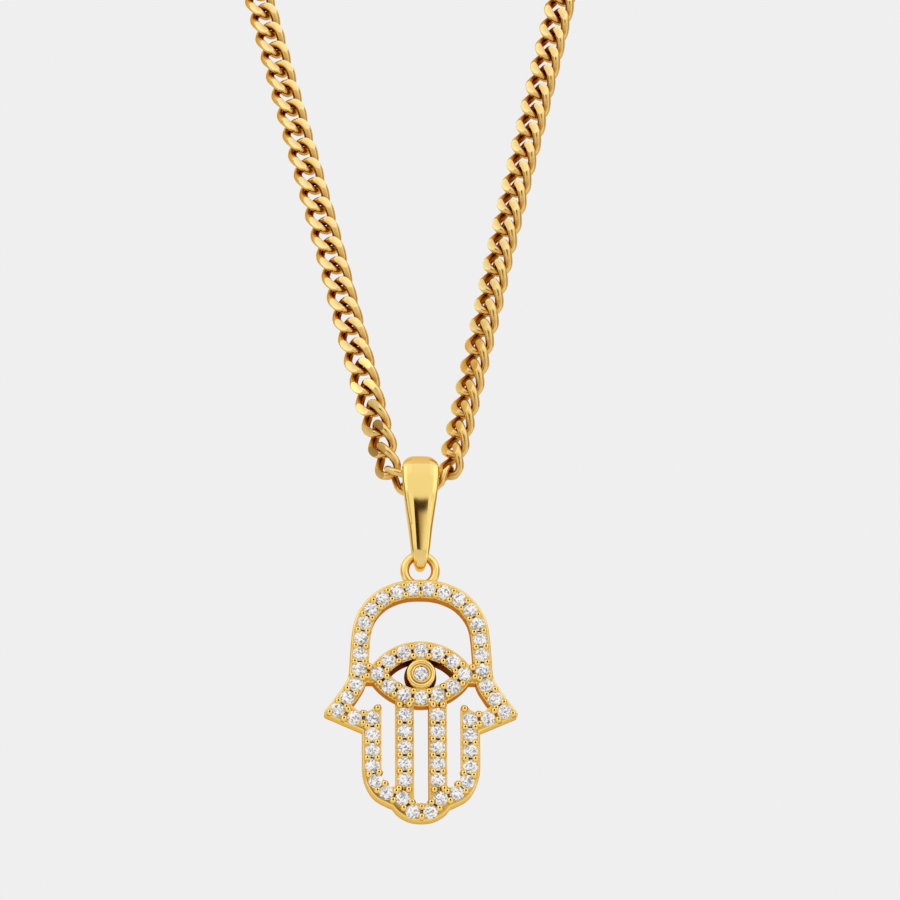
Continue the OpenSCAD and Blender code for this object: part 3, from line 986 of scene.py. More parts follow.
        # How far joined forms pass each other's corners and edges, and the shortest edge that is kept
        corner_gap, corner_cut, pupil_lap, foot_lap, shortest = 0.02, 0.3, 0.1, 0.2, 0.03
        pupil_sides = 48
        outer = mirrored([
            *self.arch_edge[:-1], *(self._on_tip(a) for a in range(*self.tip_turns)),
            *(self.at(s) for s in self.thumb_shares[:-1]), *self.finger_edge, *self.lobe_edge[1:],
        ])
        side = self.bar_x + self.bar_w / 2
        foot = self.slot_foot_share * self.height
        r = self.horn_r
        inner = mirrored([
            *(p for p in aside(self.arch_edge, self.band_w) if p[1] > self.horn_edge[0][1]),
            *(p for p in self.horn_edge if p[0] > self.slot_x + r + corner_gap),
            (self.slot_x + r, self.horn_y), (self.slot_x + corner_cut * r, self.horn_y - corner_cut * r),
            (self.slot_x, self.horn_y - r), (self.slot_x, self.slot_corner_share * self.height),
            ((self.slot_x + side) / 2, foot), (self.slot_w / 2, foot),
            (self.slot_w / 2, self.centre_foot_share * self.height),
        ])
        eye_out = self._almond(self.bar_w / 2)
        eye_in = self._almond(-self.bar_w / 2)
        pupil_r = (self.eye_h - self.bar_w + pupil_lap) / 2
        pupil = [(x * self.pupil_squeeze, y) for x, y in circle((0, 0), pupil_r, pupil_sides)]
        reach = self.nearest((self.eye_w / 2, 0), self.arch_row)[0]
        half = self.bar_w / 2
        boxes = [
            self._box(s * self.eye_w / 2, s * reach, -self.eye_joint_h / 2, self.eye_joint_h / 2)
            for s in (-1, 1)
        ] + [
            self._box(s * self.bar_x - half, s * self.bar_x + half, foot - foot_lap, -self.eye_h / 2)
            for s in (-1, 1)
        ]

        def is_metal(p: Point) -> bool:
            """Tells where the metal is.

            Args:
                p: A place.

            Returns:
                Whether it belongs to the metal.
            """
            if is_inside(p, eye_in) and not is_inside(p, pupil):
                return False
            if is_inside(p, eye_out) or any(is_inside(p, box) for box in boxes):
                return True
            return is_inside(p, outer) and not is_inside(p, inner)

        corners, faces = triangles([outer, inner, eye_out, eye_in, pupil, *boxes], [], is_metal)
        loops = borders(corners, faces, shortest)
        return sorted(loops, key=lambda loop: max(p[0] for p in loop), reverse=True)

    def _almond(self, w: float) -> Loop:
        """Draws the almond of the eye between two arcs.

        Args:
            w: How far it lies outside the row of stones.

        Returns:
            Its outline.
        """
        steps = 40
        r = self.arc_r + w
        half = math.acos(self.arc_y / r)
        top = [
            (r * math.sin(a), r * math.cos(a) - self.arc_y)
            for a in (half * (1 - 2 * i / steps) for i in range(steps + 1))
        ]
        return [*top, *((x, -y) for x, y in reversed(top[1:-1]))]

    @staticmethod
    def _box(x0: float, x1: float, y0: float, y1: float) -> Loop:
        """Returns a rectangle, counter-clockwise."""
        x0, x1 = min(x0, x1), max(x0, x1)
        return [(x0, y0), (x1, y0), (x1, y1), (x0, y1)]


@dataclass
class Hand:
    """The cast hand with its bezel, ring, beads and stones."""

    plan: HandPlan = field(default_factory=HandPlan)
    thickness: float = 1.7
    outer_round: float = 0.22
    window_round: float = 0.09
    eye_draft: float = 0.2
    back_round: float = 0.12
    seat_clear: float = 0.02
    seat_wall: float = 0.14
    seat_narrowing: float = 0.03
    seat_depth: float = 0.62
    seat_sides: int = 28
    drill_r: float = 0.3
    pit_depth: float = 0.3
    pit_r: float = 0.34
    # Radius of the spot of painted shade in the middle of each pit
    pit_dark_r: float = 0.15
    bead_out: float = 0.48
    bead_r: float = 0.355
    bead_rise: float = 0.33
    bead_foot: float = 0.14
    nick_r: float = 0.13
    nick_spacing: float = 0.42
    nick_inset: float = 0.1
    nick_sink: float = 0.06
    smallest_nick: float = 0.6
    ring_wire_r: float = 0.43
    ring_r: float = 1.495
    ring_sink: float = 0.85
    ring_sides: int = 64
    ring_wire_sides: int = 20
    eye_stone_d: float = 1.46

    # The bezel: its outer wall, its rim, the groove and the lip around the stone
    bezel_spread: float = 0.03
    bezel_wall_in: Point = (0.14, 0.02)
    bezel_wall_depth: float = 0.3
    bezel_back_in: float = 0.24
    rim_base: float = 0.05
    rim_rise: float = 0.15
    rim_power: float = 2.4
    groove_w: float = 0.15
    groove_depth: float = 0.06
    lip_out: float = 0.10
    lip_half_w: float = 0.085
    lip_base: float = 0.06
    lip_rise: float = 0.11

    # A bead: its foot, the turns of its dome and its dimple, in shares of its radius and of its rise
    bead_foot_shares: tuple[Point, ...] = ((1.12, 0.0), (1.02, 0.25))
    bead_dome_turns: tuple[float, ...] = (0.1, 0.5, 0.9, 1.25)
    bead_dome_share: float = 0.3
    bead_dimple_shares: tuple[Point, ...] = ((0.26, 0.99), (0.12, 0.72))

    # A cut stone of radius 1: radii of its table, its star facets and its long lower facets, and heights
    table_r: float = 0.56
    star_r: float = 0.76
    lower_r: float = 0.42
    crown_h: float = 0.30
    girdle_h: float = 0.05
    pavilion_h: float = 0.86
    facet_level: float = 0.56
    # What the stones reach past their seats, and how far their girdles stand above the front
    stone_lap: float = 0.065
    stone_rise: float = 0.02
    eye_stone_rise: float = 0.06
    eye_stone_clear: float = 0.01

    # Levels of painted shade, from 0 for none on the front to 1 for the darkest shade
    flat_level: float = 0.17
    seat_level: float = 0.45
    window_level: float = 0.5
    bezel_side_level: float = 0.9
    bezel_groove_level: float = 0.6
    bezel_hole_level: float = 0.8
    bead_foot_level: float = 0.85

    def __post_init__(self) -> None:
        """Finds the middle of the eye and the plate's face in the frame, and the pits between the stones."""
        low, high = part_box("eye_stone")
        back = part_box("hand_frame")[1][1]
        self.origin = Vector(((low[0] + high[0]) / 2, back - self.thickness * MM, (low[2] + high[2]) / 2))
        self.pits = [((a[0] + b[0]) / 2, (a[1] + b[1]) / 2) for a, b in self.plan.neighbours()]

    def place(self, x: float, depth: float, y: float) -> Vector:
        """Turns a place of the plan into one of the row frame.

        Args:
            x: Its way to the right.
            depth: How far it lies behind the plate's face.
            y: Its way up.

        Returns:
            The place in metres.
        """
        return self.origin + Vector((x, depth, y)) * MM

    def build(self, pierced: bpy.types.Material, gold: bpy.types.Material, satin: bpy.types.Material,
              stone: bpy.types.Material) -> list[bpy.types.Object]:
        """Builds all pieces of the hand.

        Args:
            pierced: Finish of the pierced plate.
            gold: Finish of the bezel and the beads.
            satin: Finish of the ring.
            stone: Finish of the stones.

        Returns:
            The pieces.
        """
        loops = self.plan.outlines()
        casting = [
            self._plate(loops), self._bezel(), self._ring(),
            self._beads(gold), self._nicks(loops, gold),
        ]
        for piece, finish in zip(casting, (pierced, gold, satin, gold, gold)):
            piece.data.materials.clear()
            piece.data.materials.append(finish)
            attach(piece, Body.HAND.value)
            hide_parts("hand_frame")
        stones = [self._pave(stone), self._eye_stone(stone)]
        for piece, node in zip(stones, ("pave_stones", "eye_stone")):
            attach(piece, Body.HAND.value)
            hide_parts(node)
        return casting + stones

    def _sink(self, p: Point) -> float:
        """Measures the pits between the stones.

        Args:
            p: A place of the plan.

        Returns:
            How far the plate's face lies back there.
        """
        near = min(gap(p, m) for m in self.pits)
        t = min(near / self.pit_r, 1.0)
        return self.pit_depth * (1 - t * t) ** 2

    def _plate(self, loops: Sequence[Loop]) -> bpy.types.Object:
        """Builds the pierced plate with rounded edges, seats and drilled holes.

        Args:
            loops: Its outlines, the outer edge first.

        Returns:
            The plate.
        """
        seats = self.plan.stones
        seat_r = self.plan.stone_d / 2 + self.seat_clear
        rims = [circle(p, seat_r, self.seat_sides) for p in seats]
        walls = [circle(p, seat_r - self.seat_narrowing, self.seat_sides) for p in seats]
        drills = [circle(p, self.drill_r, self.seat_sides) for p in seats]
        back_turns = [math.radians(d) for d in (90.0, 45.0, 0.0)]
        front_turns = [math.radians(d) for d in (0.0, 22.5, 45.0, 67.5, 90.0)]
        bm = bmesh.new()
        front: list[Loop] = []
        back: list[Loop] = []
        for number, loop in enumerate(loops):
            r = self.outer_round if number == 0 else self.window_round
            b = self.back_round
            draft = self.eye_draft if self._is_in_eye(loop) else 0.0
            profile = [(b - b * math.cos(a), self.thickness - b + b * math.sin(a)) for a in back_turns]
            profile += [(r - r * math.cos(a), r - r * math.sin(a)) for a in front_turns]
            rings = [(inset(loop, w - draft * depth / self.thickness), depth) for w, depth in profile]
            back.append(rings[0][0])
            front.append(rings[-1][0])
            sections = [[self.place(p[0], depth, p[1]) for p in ring] for ring, depth in rings]
            join_sections(bm, sections, Ends.OPEN)
        self._cap(
            bm, [*front, *rims], self.pits, lambda p: self._in(p, front, rims), self._sink, facing=-1,
        )
        self._cap(
            bm, [*back, *drills], [], lambda p: self._in(p, back, drills), lambda p: self.thickness, facing=1,
        )
        for rim, wall, drill in zip(rims, walls, drills):
            sections = [
                [self.place(p[0], self._sink(p), p[1]) for p in rim],
                [self.place(p[0], self._sink(p) / 2 + self.seat_wall, p[1]) for p in wall],
                [self.place(p[0], self.seat_depth, p[1]) for p in drill],
                [self.place(p[0], self.thickness, p[1]) for p in drill],
            ]
            join_sections(bm, sections, Ends.OPEN)
        same_place = 1e-8
        face_outwards(bm, same_place)
        plate = new_object("hand_casting", bm, smooth_under=40)
        self._mark_walls(plate, loops)
        return plate

    def _is_in_eye(self, loop: Sequence[Point]) -> bool:
        """Tells whether an outline is one of the two small windows beside the bezel."""
        return max(gap(p, (0, 0)) for p in loop) < self.plan.eye_w / 2

    def _mark_walls(self, plate: bpy.types.Object, loops: Sequence[Loop]) -> None:
        """Paints shade by face: none outside, a little on the front, more in windows and seats, most in the
        eye and pits.

        Args:
            plate: The plate.
            loops: Its outlines, the outer edge first.
        """
        # Depths of the edge's rounding, of a seat's dark part and of the back, and slopes of walls and flats
        rounding, dark, back, wall_slope, flat_slope = 0.1, 0.35, 0.2, 0.6, 0.97
        mesh = plate.data
        values = []
        for face in mesh.polygons:
            x, depth, y = (face.center - self.origin) / MM
            is_wall = abs(face.normal.y) < wall_slope and depth > rounding
            in_seat = any(gap((x, y), s) < self.plan.stone_d / 2 for s in self.plan.stones)
            in_pit = any(gap((x, y), s) < self.pit_dark_r for s in self.pits)
            # Shade is painted on the window walls, in the pits and seats, and a little on flat faces that
            # look ahead
            if is_wall and not in_seat:
                near = min(range(len(loops)), key=lambda i: min(gap((x, y), p) for p in loops[i]))
                in_window = 1.0 if self._is_in_eye(loops[near]) else self.window_level
                values.append(0.0 if near == 0 else in_window)
            elif depth >= self.thickness - back:
                values.append(0.0)
            elif in_pit or (in_seat and depth > dark):
                values.append(1.0)
            elif in_seat:
                values.append(self.seat_level)
            else:
                values.append(self.flat_level if abs(face.normal.y) > flat_slope else 0.0)
        self._write_painted_shade(mesh, values)

    @staticmethod
    def _write_painted_shade(mesh: bpy.types.Mesh, values: Sequence[float]) -> None:
        """Writes the level of painted shade, one value for each face."""
        mesh.attributes.new("painted_shade", "FLOAT", "FACE").data.foreach_set("value", values)

    @staticmethod
    def _in(p: Point, loops: Sequence[Loop], holes: Sequence[Loop]) -> bool:
        """Tells whether a place is on the metal's face.

        Args:
            p: The place.
            loops: The outlines, the outer edge first.
            holes: The round holes.

        Returns:
            Whether it lies inside the outer edge, and in no window or hole.
        """
        if not is_inside(p, loops[0]):
            return False
        return not any(is_inside(p, loop) for loop in (*loops[1:], *holes))

    def _cap(self, bm: bmesh.types.BMesh, loops: Sequence[Loop], extra: Sequence[Point],
             keep: Callable[[Point], bool], depth: Callable[[Point], float], facing: int) -> None:
        """Fills the front or the back of the plate.

        Args:
            bm: The mesh it goes into.
            loops: All outlines of the face.
            extra: Places where it gets a point of its own.
            keep: Tells whether a place is on the metal.
            depth: Tells how deep a place lies.
            facing: -1 for the front, 1 for the back.
        """
        corners, faces = triangles(loops, extra, keep)
        verts = [bm.verts.new(self.place(p[0], depth(p), p[1])) for p in corners]
        for face in faces:
            order = face if facing < 0 else tuple(reversed(face))
            bm.faces.new([verts[i] for i in order])
        loose = [v for v in verts if not v.link_faces]
        bmesh.ops.delete(bm, geom=loose, context="VERTS")

    def _lathe(self, name: str, profile: Sequence[Point], sides: int) -> bpy.types.Object:
        """Turns a profile about the middle of the eye.

        Args:
            name: Name of the object.
            profile: Pairs of radius and depth, all round the section.
            sides: Faces around.

        Returns:
            The turned form.
        """
        bm = bmesh.new()
        sections = [[self.place(p[0], d, p[1]) for p in circle((0, 0), r, sides)] for r, d in profile]
        join_sections(bm, sections, Ends.JOINED)
        face_outwards(bm)
        return new_object(name, bm, smooth_under=50)

    def _bezel(self) -> bpy.types.Object:
        """Builds the round bezel: a broad rounded rim, a groove and a raised lip around the stone, all with
        painted shade.

        Returns:
            The piece.
        """
        rim_steps, lip_turns, sides = 9, range(0, 171, 17), 56
        r = self.plan.bezel_d / 2 + self.bezel_spread
        stone_r = self.eye_stone_d / 2
        lip_r = stone_r + self.lip_out
        groove_r = lip_r + self.groove_w
        half = (r - groove_r) / 2
        rim = [
            (r - half + half * u, -self.rim_base - self.rim_rise * (1 - abs(u) ** self.rim_power))
            for u in (1 - k / rim_steps for k in range(2 * rim_steps + 1))
        ]
        lip = [
            (lip_r + self.lip_half_w * math.cos(a), -self.lip_base - self.lip_rise * math.sin(a))
            for a in (math.radians(d) for d in lip_turns)
        ]
        # How far the groove's floor stays clear of the rim, passes under the lip and reaches the stone
        rim_clear, under_lip, stone_clear = 0.02, 0.09, 0.005
        profile = [
            (r - self.bezel_wall_in[0], self.thickness - self.back_round),
            (r - self.bezel_wall_in[1], self.bezel_wall_depth), *rim,
            (groove_r - rim_clear, self.groove_depth), (lip_r + under_lip, self.groove_depth), *lip,
            (stone_r + stone_clear, self.groove_depth), (self.drill_r, self.seat_depth),
            (self.drill_r, self.thickness), (r - self.bezel_back_in, self.thickness),
        ]
        bezel = self._lathe("eye_bezel", profile, sides)
        # Widths of the painted shade on the side, in half the groove and at the hole's edge, and how near the
        # face it ends
        edge, half_groove, hole, near = 0.04, 0.05, 0.03, 0.02
        # Shade is painted on the bezel's outer side, in its groove and round the stone
        values = []
        for face in bezel.data.polygons:
            x, depth, y = (face.center - self.origin) / MM
            out = math.hypot(x, y)
            if out > r - edge and depth > near:
                values.append(self.bezel_side_level)
            elif abs(out - groove_r + half_groove) < half_groove and depth > -near:
                values.append(self.bezel_groove_level)
            else:
                values.append(self.bezel_hole_level if out < stone_r + hole else 0.0)
        self._write_painted_shade(bezel.data, values)
        return bezel

    def _ring(self) -> bpy.types.Object:
        """Builds the ring that is soldered to the top of the arch, with shade painted on its inside.

        Returns:
            The piece.
        """
        top = self.plan.arch_edge[0][1]
        centre = self.place(0, self.thickness / 2, top + self.ring_r + self.ring_wire_r - self.ring_sink)
        back = Vector((0, 1, 0))
        bm = bmesh.new()
        sections = []
        for k in range(self.ring_sides):
            a = math.tau * k / self.ring_sides
            out = Vector((math.cos(a), 0, math.sin(a)))
            middle = centre + out * self.ring_r * MM
            sections.append([
                middle + (out * math.cos(b) + back * math.sin(b)) * self.ring_wire_r * MM
                for b in (math.tau * j / self.ring_wire_sides for j in range(self.ring_wire_sides))
            ])
        join_sections(bm, sections, Ends.JOINED)
        face_outwards(bm)
        ring = new_object("hand_ring", bm, smooth_under=60)
        # How the painted shade grows towards the ring's inside, and its greatest value
        gain, start, most = 0.9, 0.15, 0.45
        values = []
        for face in ring.data.polygons:
            inward = -face.normal.dot((face.center - centre).normalized())
            values.append(min(max(gain * inward - start, 0.0), most))
        self._write_painted_shade(ring.data, values)
        return ring

    def _beads(self, gold: bpy.types.Material) -> bpy.types.Object:
        """Sets the domed beads that hold the stones.

        Args:
            gold: Their finish.

        Returns:
            The piece.
        """
        places = self.plan.beads(self.bead_out)
        rise = (self.bead_foot + self.bead_rise) / self.bead_r
        dome = self.bead_dome_share
        shares = [
            *self.bead_foot_shares,
            *((math.cos(a), dome + (1 - dome) * math.sin(a)) for a in self.bead_dome_turns),
            *self.bead_dimple_shares,
        ]
        sides = 10
        bm = bmesh.new()
        sections = [
            [Vector((p[0], -up * rise, p[1])) for p in circle((0, 0), r, sides)] for r, up in shares
        ]
        join_sections(bm, sections, Ends.CAPPED)
        face_outwards(bm)
        shape = new_object("bead_shape", bm, smooth_under=50)
        self._mark_dimple(shape, rise)
        spots = [self.place(x, self.bead_foot, y) for x, y in places]
        host = host_of_points("bead_places", spots, [self.bead_r * MM] * len(places))
        piece = grow(host, setting_tree(), {"Shape": shape, "Material": gold}, "bead_prongs", smooth_under=80)
        drop_helper(shape)
        return piece

    def _mark_dimple(self, shape: bpy.types.Object, rise: float) -> None:
        """Paints shade: full in the dimple that the beading tool leaves, less at the foot.

        Args:
            shape: The bead of radius 1.
            rise: Its height.
        """
        # The dimple's radius and the share of the rise that it lies above, and where the foot starts
        dimple_r, dimple_share, foot_r = 0.24, 0.62, 0.95
        values = []
        for face in shape.data.polygons:
            out = math.hypot(face.center.x, face.center.z)
            # The dimple gets the darkest painted shade, the foot a little less
            if out < dimple_r and face.center.y < -dimple_share * rise:
                values.append(1.0)
            else:
                values.append(self.bead_foot_level if out > foot_r else 0.0)
        self._write_painted_shade(shape.data, values)

    def _nicks(self, loops: Sequence[Loop], gold: bpy.types.Material) -> bpy.types.Object:
        """Rows small bumps along the windows' edges, as the graver leaves them beside the stones.

        Args:
            loops: The plate's outlines, the outer edge first.
            gold: Their finish.

        Returns:
            The piece.
        """
        paths = [
            [self.place(p[0], self.nick_sink, p[1]) for p in inset(loop, self.nick_inset)]
            for loop in loops[1:]
        ]
        bm = bmesh.new()
        bmesh.ops.create_uvsphere(bm, u_segments=8, v_segments=5, radius=self.nick_r * MM)
        shape = new_object("nick_shape", bm, smooth_under=80)
        host = host_of_paths("nick_paths", paths, closed=True)
        inputs = {
            "Shape": shape, "Spacing": self.nick_spacing * MM, "Smallest": self.smallest_nick, "Seed": 3,
            "Material": gold,
        }
        piece = grow(host, edging_tree(), inputs, "edge_beading", smooth_under=80)
        drop_helper(shape)
        return piece

    def _brilliant(self, name: str) -> bpy.types.Object:
        """Builds one cut stone of radius 1 with its table towards -Y and its girdle at 0.

        Args:
            name: Name of the object.

        Returns:
            The stone.
        """
        bm = bmesh.new()
        between = [math.tau * (k + 0.5) / 8 for k in range(8)]
        straight = [math.tau * k / 8 for k in range(8)]
        half = [math.tau * k / 16 for k in range(16)]

        def ring(r: float, y: float, angles: Sequence[float]) -> list[bmesh.types.BMVert]:
            """Returns new points on a circle about the stone's axis."""
            return [bm.verts.new((r * math.cos(a), y, r * math.sin(a))) for a in angles]

        top = ring(self.table_r, -self.crown_h, between)
        mid = ring(self.star_r, -self.crown_h * self.facet_level, straight)
        edge = ring(1.0, 0.0, half)
        low = ring(1.0, self.girdle_h, half)
        deep = ring(self.lower_r, self.girdle_h + self.pavilion_h * self.facet_level, between)
        culet = bm.verts.new((0, self.girdle_h + self.pavilion_h, 0))
        bm.faces.new(top)
        for k in range(8):
            n = (k + 1) % 8
            a, b, c, d = 2 * k, (2 * k + 1) % 16, (2 * k + 2) % 16, (2 * k - 1) % 16
            bm.faces.new((top[k], mid[n], top[n]))
            bm.faces.new((mid[k], edge[a], edge[b]))
            bm.faces.new((mid[k], edge[d], edge[a]))
            bm.faces.new((top[k], mid[k], edge[b], mid[n]))
            bm.faces.new((edge[a], low[a], low[b], edge[b]))
            bm.faces.new((edge[b], low[b], low[c], edge[c]))
            bm.faces.new((low[b], deep[k], low[a]))
            bm.faces.new((low[c], deep[k], low[b]))
            bm.faces.new((low[a], deep[k], culet, deep[k - 1]))
        face_outwards(bm)
        return new_object(name, bm)

    def _pave(self, stone: bpy.types.Material) -> bpy.types.Object:
        """Sets the field of round stones, each turned its own way.

        Args:
            stone: Their finish.

        Returns:
            The piece.
        """
        shape = self._brilliant("stone_shape")
        places = self.plan.stones
        r = (self.plan.stone_d / 2 + self.stone_lap) * MM
        spots = [self.place(x, -self.stone_rise, y) for x, y in places]
        host = host_of_points("stone_places", spots, [r] * len(places))
        inputs = {"Shape": shape, "Turn": math.tau, "Seed": 7, "Material": stone}
        piece = grow(host, setting_tree(), inputs, "pave_brilliants")
        drop_helper(shape)
        return piece

    def _eye_stone(self, stone: bpy.types.Material) -> bpy.types.Object:
        """Sets the stone in the bezel.

        Args:
            stone: Its finish.

        Returns:
            The piece.
        """
        shape = self._brilliant("eye_shape")
        r = (self.eye_stone_d / 2 - self.eye_stone_clear) * MM
        host = host_of_points("eye_place", [self.place(0, -self.eye_stone_rise, 0)], [r])
        inputs = {"Shape": shape, "Turn": 0.0, "Seed": 1, "Material": stone}
        piece = grow(host, setting_tree(), inputs, "eye_brilliant")
        drop_helper(shape)
        return piece


# The bail


@dataclass
class Bail:
    """The facetted bail that carries the hand on the chain."""

    length: float = 7.45
    width: float = 3.62
    top_r: float = 1.7
    foot_r: float = 0.75
    wall: float = 0.82
    facet_w: float = 1.76
    facet_foot_share: float = 0.42
    facet_drop: float = 0.42
    edge_r: float = 0.14
    bulge: float = 0.022
    swell: float = 0.04

    # Turns in degrees: of the crease at the top, and of the long face where it starts and ends
    crease: float = 29.0
    start_turn: float = 4.0
    end_turn: float = -11.5

    # How much narrower the back is, how far in front of the pivot that starts, and over what depth
    back_narrowing: float = 0.16
    narrowing_start: float = 1.0
    narrowing_run: float = 2.0
    # How far below the foot's pivot the section turns oval, and over what height
    oval_start: float = 0.35
    oval_run: float = 0.8

    # Points of the section, in shares: of the middle facet and its bulge, of the sloped facet, and of the
    # edge's rounding in front and behind
    middle_shares: tuple[Point, ...] = ((0.25, 0.94), (0.65, 0.58), (1.0, 0.0))
    slope_shares: tuple[float, ...] = (0.35, 0.65)
    front_edge_shares: tuple[Point, ...] = ((0.35, 0.15), (0.0, 0.9))
    back_edge_shares: tuple[Point, ...] = ((0.0, 1.0), (0.3, 0.3), (1.0, 0.0))
    # Turns in degrees of the points of the oval section
    oval_turns: tuple[int, ...] = (80, 68, 52, 40, 28, 16, 6, -8, -35, -58, -80)

    # Share of half the width, and way down as a share of the height
    shares: tuple[Point, ...] = (
        (0.59, 0), (0.84, 0.030), (0.965, 0.075), (1, 0.137), (0.995, 0.210), (0.91, 0.345),
        (0.755, 0.515), (0.615, 0.665), (0.525, 0.800), (0.475, 0.855), (0.405, 0.910), (0.345, 0.955),
        (0.285, 1),
    )

    def __post_init__(self) -> None:
        """Finds the bail's pivot in the frame and works out its outline."""
        low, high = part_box("bail")
        self.outer_top = self.top_r + self.wall
        self.outer_foot = self.foot_r + self.wall
        self.height = self.outer_top + self.length + self.outer_foot
        self.pivot = Vector(((low[0] + high[0]) / 2, (low[1] + high[1]) / 2, high[2] - self.outer_top * MM))
        edge = spline([
            (share * self.width / 2, self.outer_top - way * self.height) for share, way in self.shares
        ], steps=6)
        self.edge = sorted(edge, key=lambda p: p[1])

    def _half_width(self, z: float) -> float:
        """Measures half the bail's width.

        Args:
            z: Height from the pivot.

        Returns:
            Half the width there.
        """
        least_rise = 1e-9
        if z <= self.edge[0][1]:
            return self.edge[0][0]
        for a, b in zip(self.edge, self.edge[1:]):
            if z <= b[1]:
                return a[0] + (b[0] - a[0]) * (z - a[1]) / max(b[1] - a[1], least_rise)
        return self.edge[-1][0]

    def _facet_half(self, z: float) -> float:
        """Returns half the width of the middle facet at a height from the pivot."""
        t = min(max(-z / self.length, 0.0), 1.0)
        return self.facet_w / 2 * (1 - (1 - self.facet_foot_share) * t)

    def _bow(self, side: int) -> list[tuple[Point, Point]]:
        """Draws the long front or back face from the top's crease to the foot, slightly bowed out.

        Args:
            side: -1 for the front, 1 for the back.

        Returns:
            Places with their outward directions, as (back, up) pairs, from the top down.
        """
        crease, start, end = (math.radians(d) for d in (self.crease, self.start_turn, self.end_turn))
        a = (self.outer_top * math.cos(crease), self.outer_top * math.sin(crease))
        d = (self.outer_foot * math.cos(end), -self.length + self.outer_foot * math.sin(end))
        reach = gap(a, d) / 3
        b = (a[0] + reach * math.sin(start), a[1] - reach * math.cos(start))
        c = (d[0] - reach * math.sin(end), d[1] + reach * math.cos(end))
        face = []
        steps = 16
        for k in range(steps + 1):
            t = k / steps
            s = 1 - t
            place, way = (
                tuple(wa * p + wb * q + wc * m + wd * n for p, q, m, n in zip(a, b, c, d))
                for wa, wb, wc, wd in (
                    (s ** 3, 3 * s * s * t, 3 * s * t * t, t ** 3),
                    (-s * s, s * s - 2 * s * t, 2 * s * t - t * t, t * t),
                )
            )
            size = math.hypot(*way)
            face.append(((side * place[0], place[1]), (side * -way[1] / size, way[0] / size)))
        return face

    def _track(self) -> list[tuple[Point, Point]]:
        """Draws the outer drop.

        Returns:
            Places with their outward directions, as (back, up) pairs, all round.
        """
        top_steps, foot_steps = 20, 16
        crease, end = math.radians(self.crease), math.radians(self.end_turn)
        top = [crease + (math.pi - 2 * crease) * k / top_steps for k in range(top_steps + 1)]
        foot = [math.pi - end + (math.pi + 2 * end) * k / foot_steps for k in range(1, foot_steps)]

        def arc(angles: Sequence[float], r: float, z: float) -> list[tuple[Point, Point]]:
            """Returns places on an arc of radius r about a middle at height z."""
            ways = [(math.cos(a), math.sin(a)) for a in angles]
            return [((r * way[0], z + r * way[1]), way) for way in ways]

        return [
            *arc(top, self.outer_top, 0.0), *self._bow(-1),
            *arc(foot, self.outer_foot, -self.length), *reversed(self._bow(1)),
        ]

    def _section(self, half: float, facet: float, roundness: float) -> list[Point]:
        """Draws a cross-section.

        Args:
            half: Half the section's width.
            facet: Half the width of the middle facet.
            roundness: 0 for crisp facets, 1 for an oval.

        Returns:
            The section's points in order, as (aside, outward) pairs.
        """
        # Greatest facet and edge in shares of half the width, and where the edge starts in shares of itself
        most_facet, most_edge, edge_start = 0.62, 0.25, 1.1
        facet = min(facet, half * most_facet)
        run = half - facet
        fall = run * self.facet_drop / ((self.width - self.facet_w) / 2)
        e = min(self.edge_r, half * most_edge)
        swell = self.swell * run
        right = [
            *((facet * a, self.bulge * b) for a, b in self.middle_shares),
            *((facet + run * a, swell - fall * a) for a in self.slope_shares),
            (half - e * edge_start, swell / 2 - fall * (1 - e / run)),
            *((half - e * a, -fall - e * b) for a, b in self.front_edge_shares),
            *((half - e * a, e * b - self.wall) for a, b in self.back_edge_shares),
        ]
        turns = [math.radians(d) for d in self.oval_turns]
        oval = [(half * math.cos(a), self.wall / 2 * (math.sin(a) - 1)) for a in turns]
        right = [
            (p[0] + (q[0] - p[0]) * roundness, p[1] + (q[1] - p[1]) * roundness) for p, q in zip(right, oval)
        ]
        return right + [(-x, y) for x, y in reversed(right)]

    def build(self, gold: bpy.types.Material) -> bpy.types.Object:
        """Builds the bail.

        Args:
            gold: Its finish.

        Returns:
            The piece.
        """
        bm = bmesh.new()
        sections = []
        for (y, z), (out_y, out_z) in self._track():
            back = min(max((y + self.narrowing_start) / self.narrowing_run, 0.0), 1.0)
            foot = min(max((-z - self.length - self.oval_start) / self.oval_run, 0.0), 1.0)
            half = self._half_width(z) * (1 - self.back_narrowing * back)
            section = self._section(half, self._facet_half(z), foot)
            sections.append([
                self.pivot + Vector((x, y + out_y * depth, z + out_z * depth)) * MM for x, depth in section
            ])
        join_sections(bm, sections, Ends.JOINED)
        face_outwards(bm)
        piece = new_object("facetted_bail", bm, smooth_under=11)
        piece.data.materials.append(gold)
        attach(piece, Body.BAIL.value)
        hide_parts("bail")
        return piece


# The chain


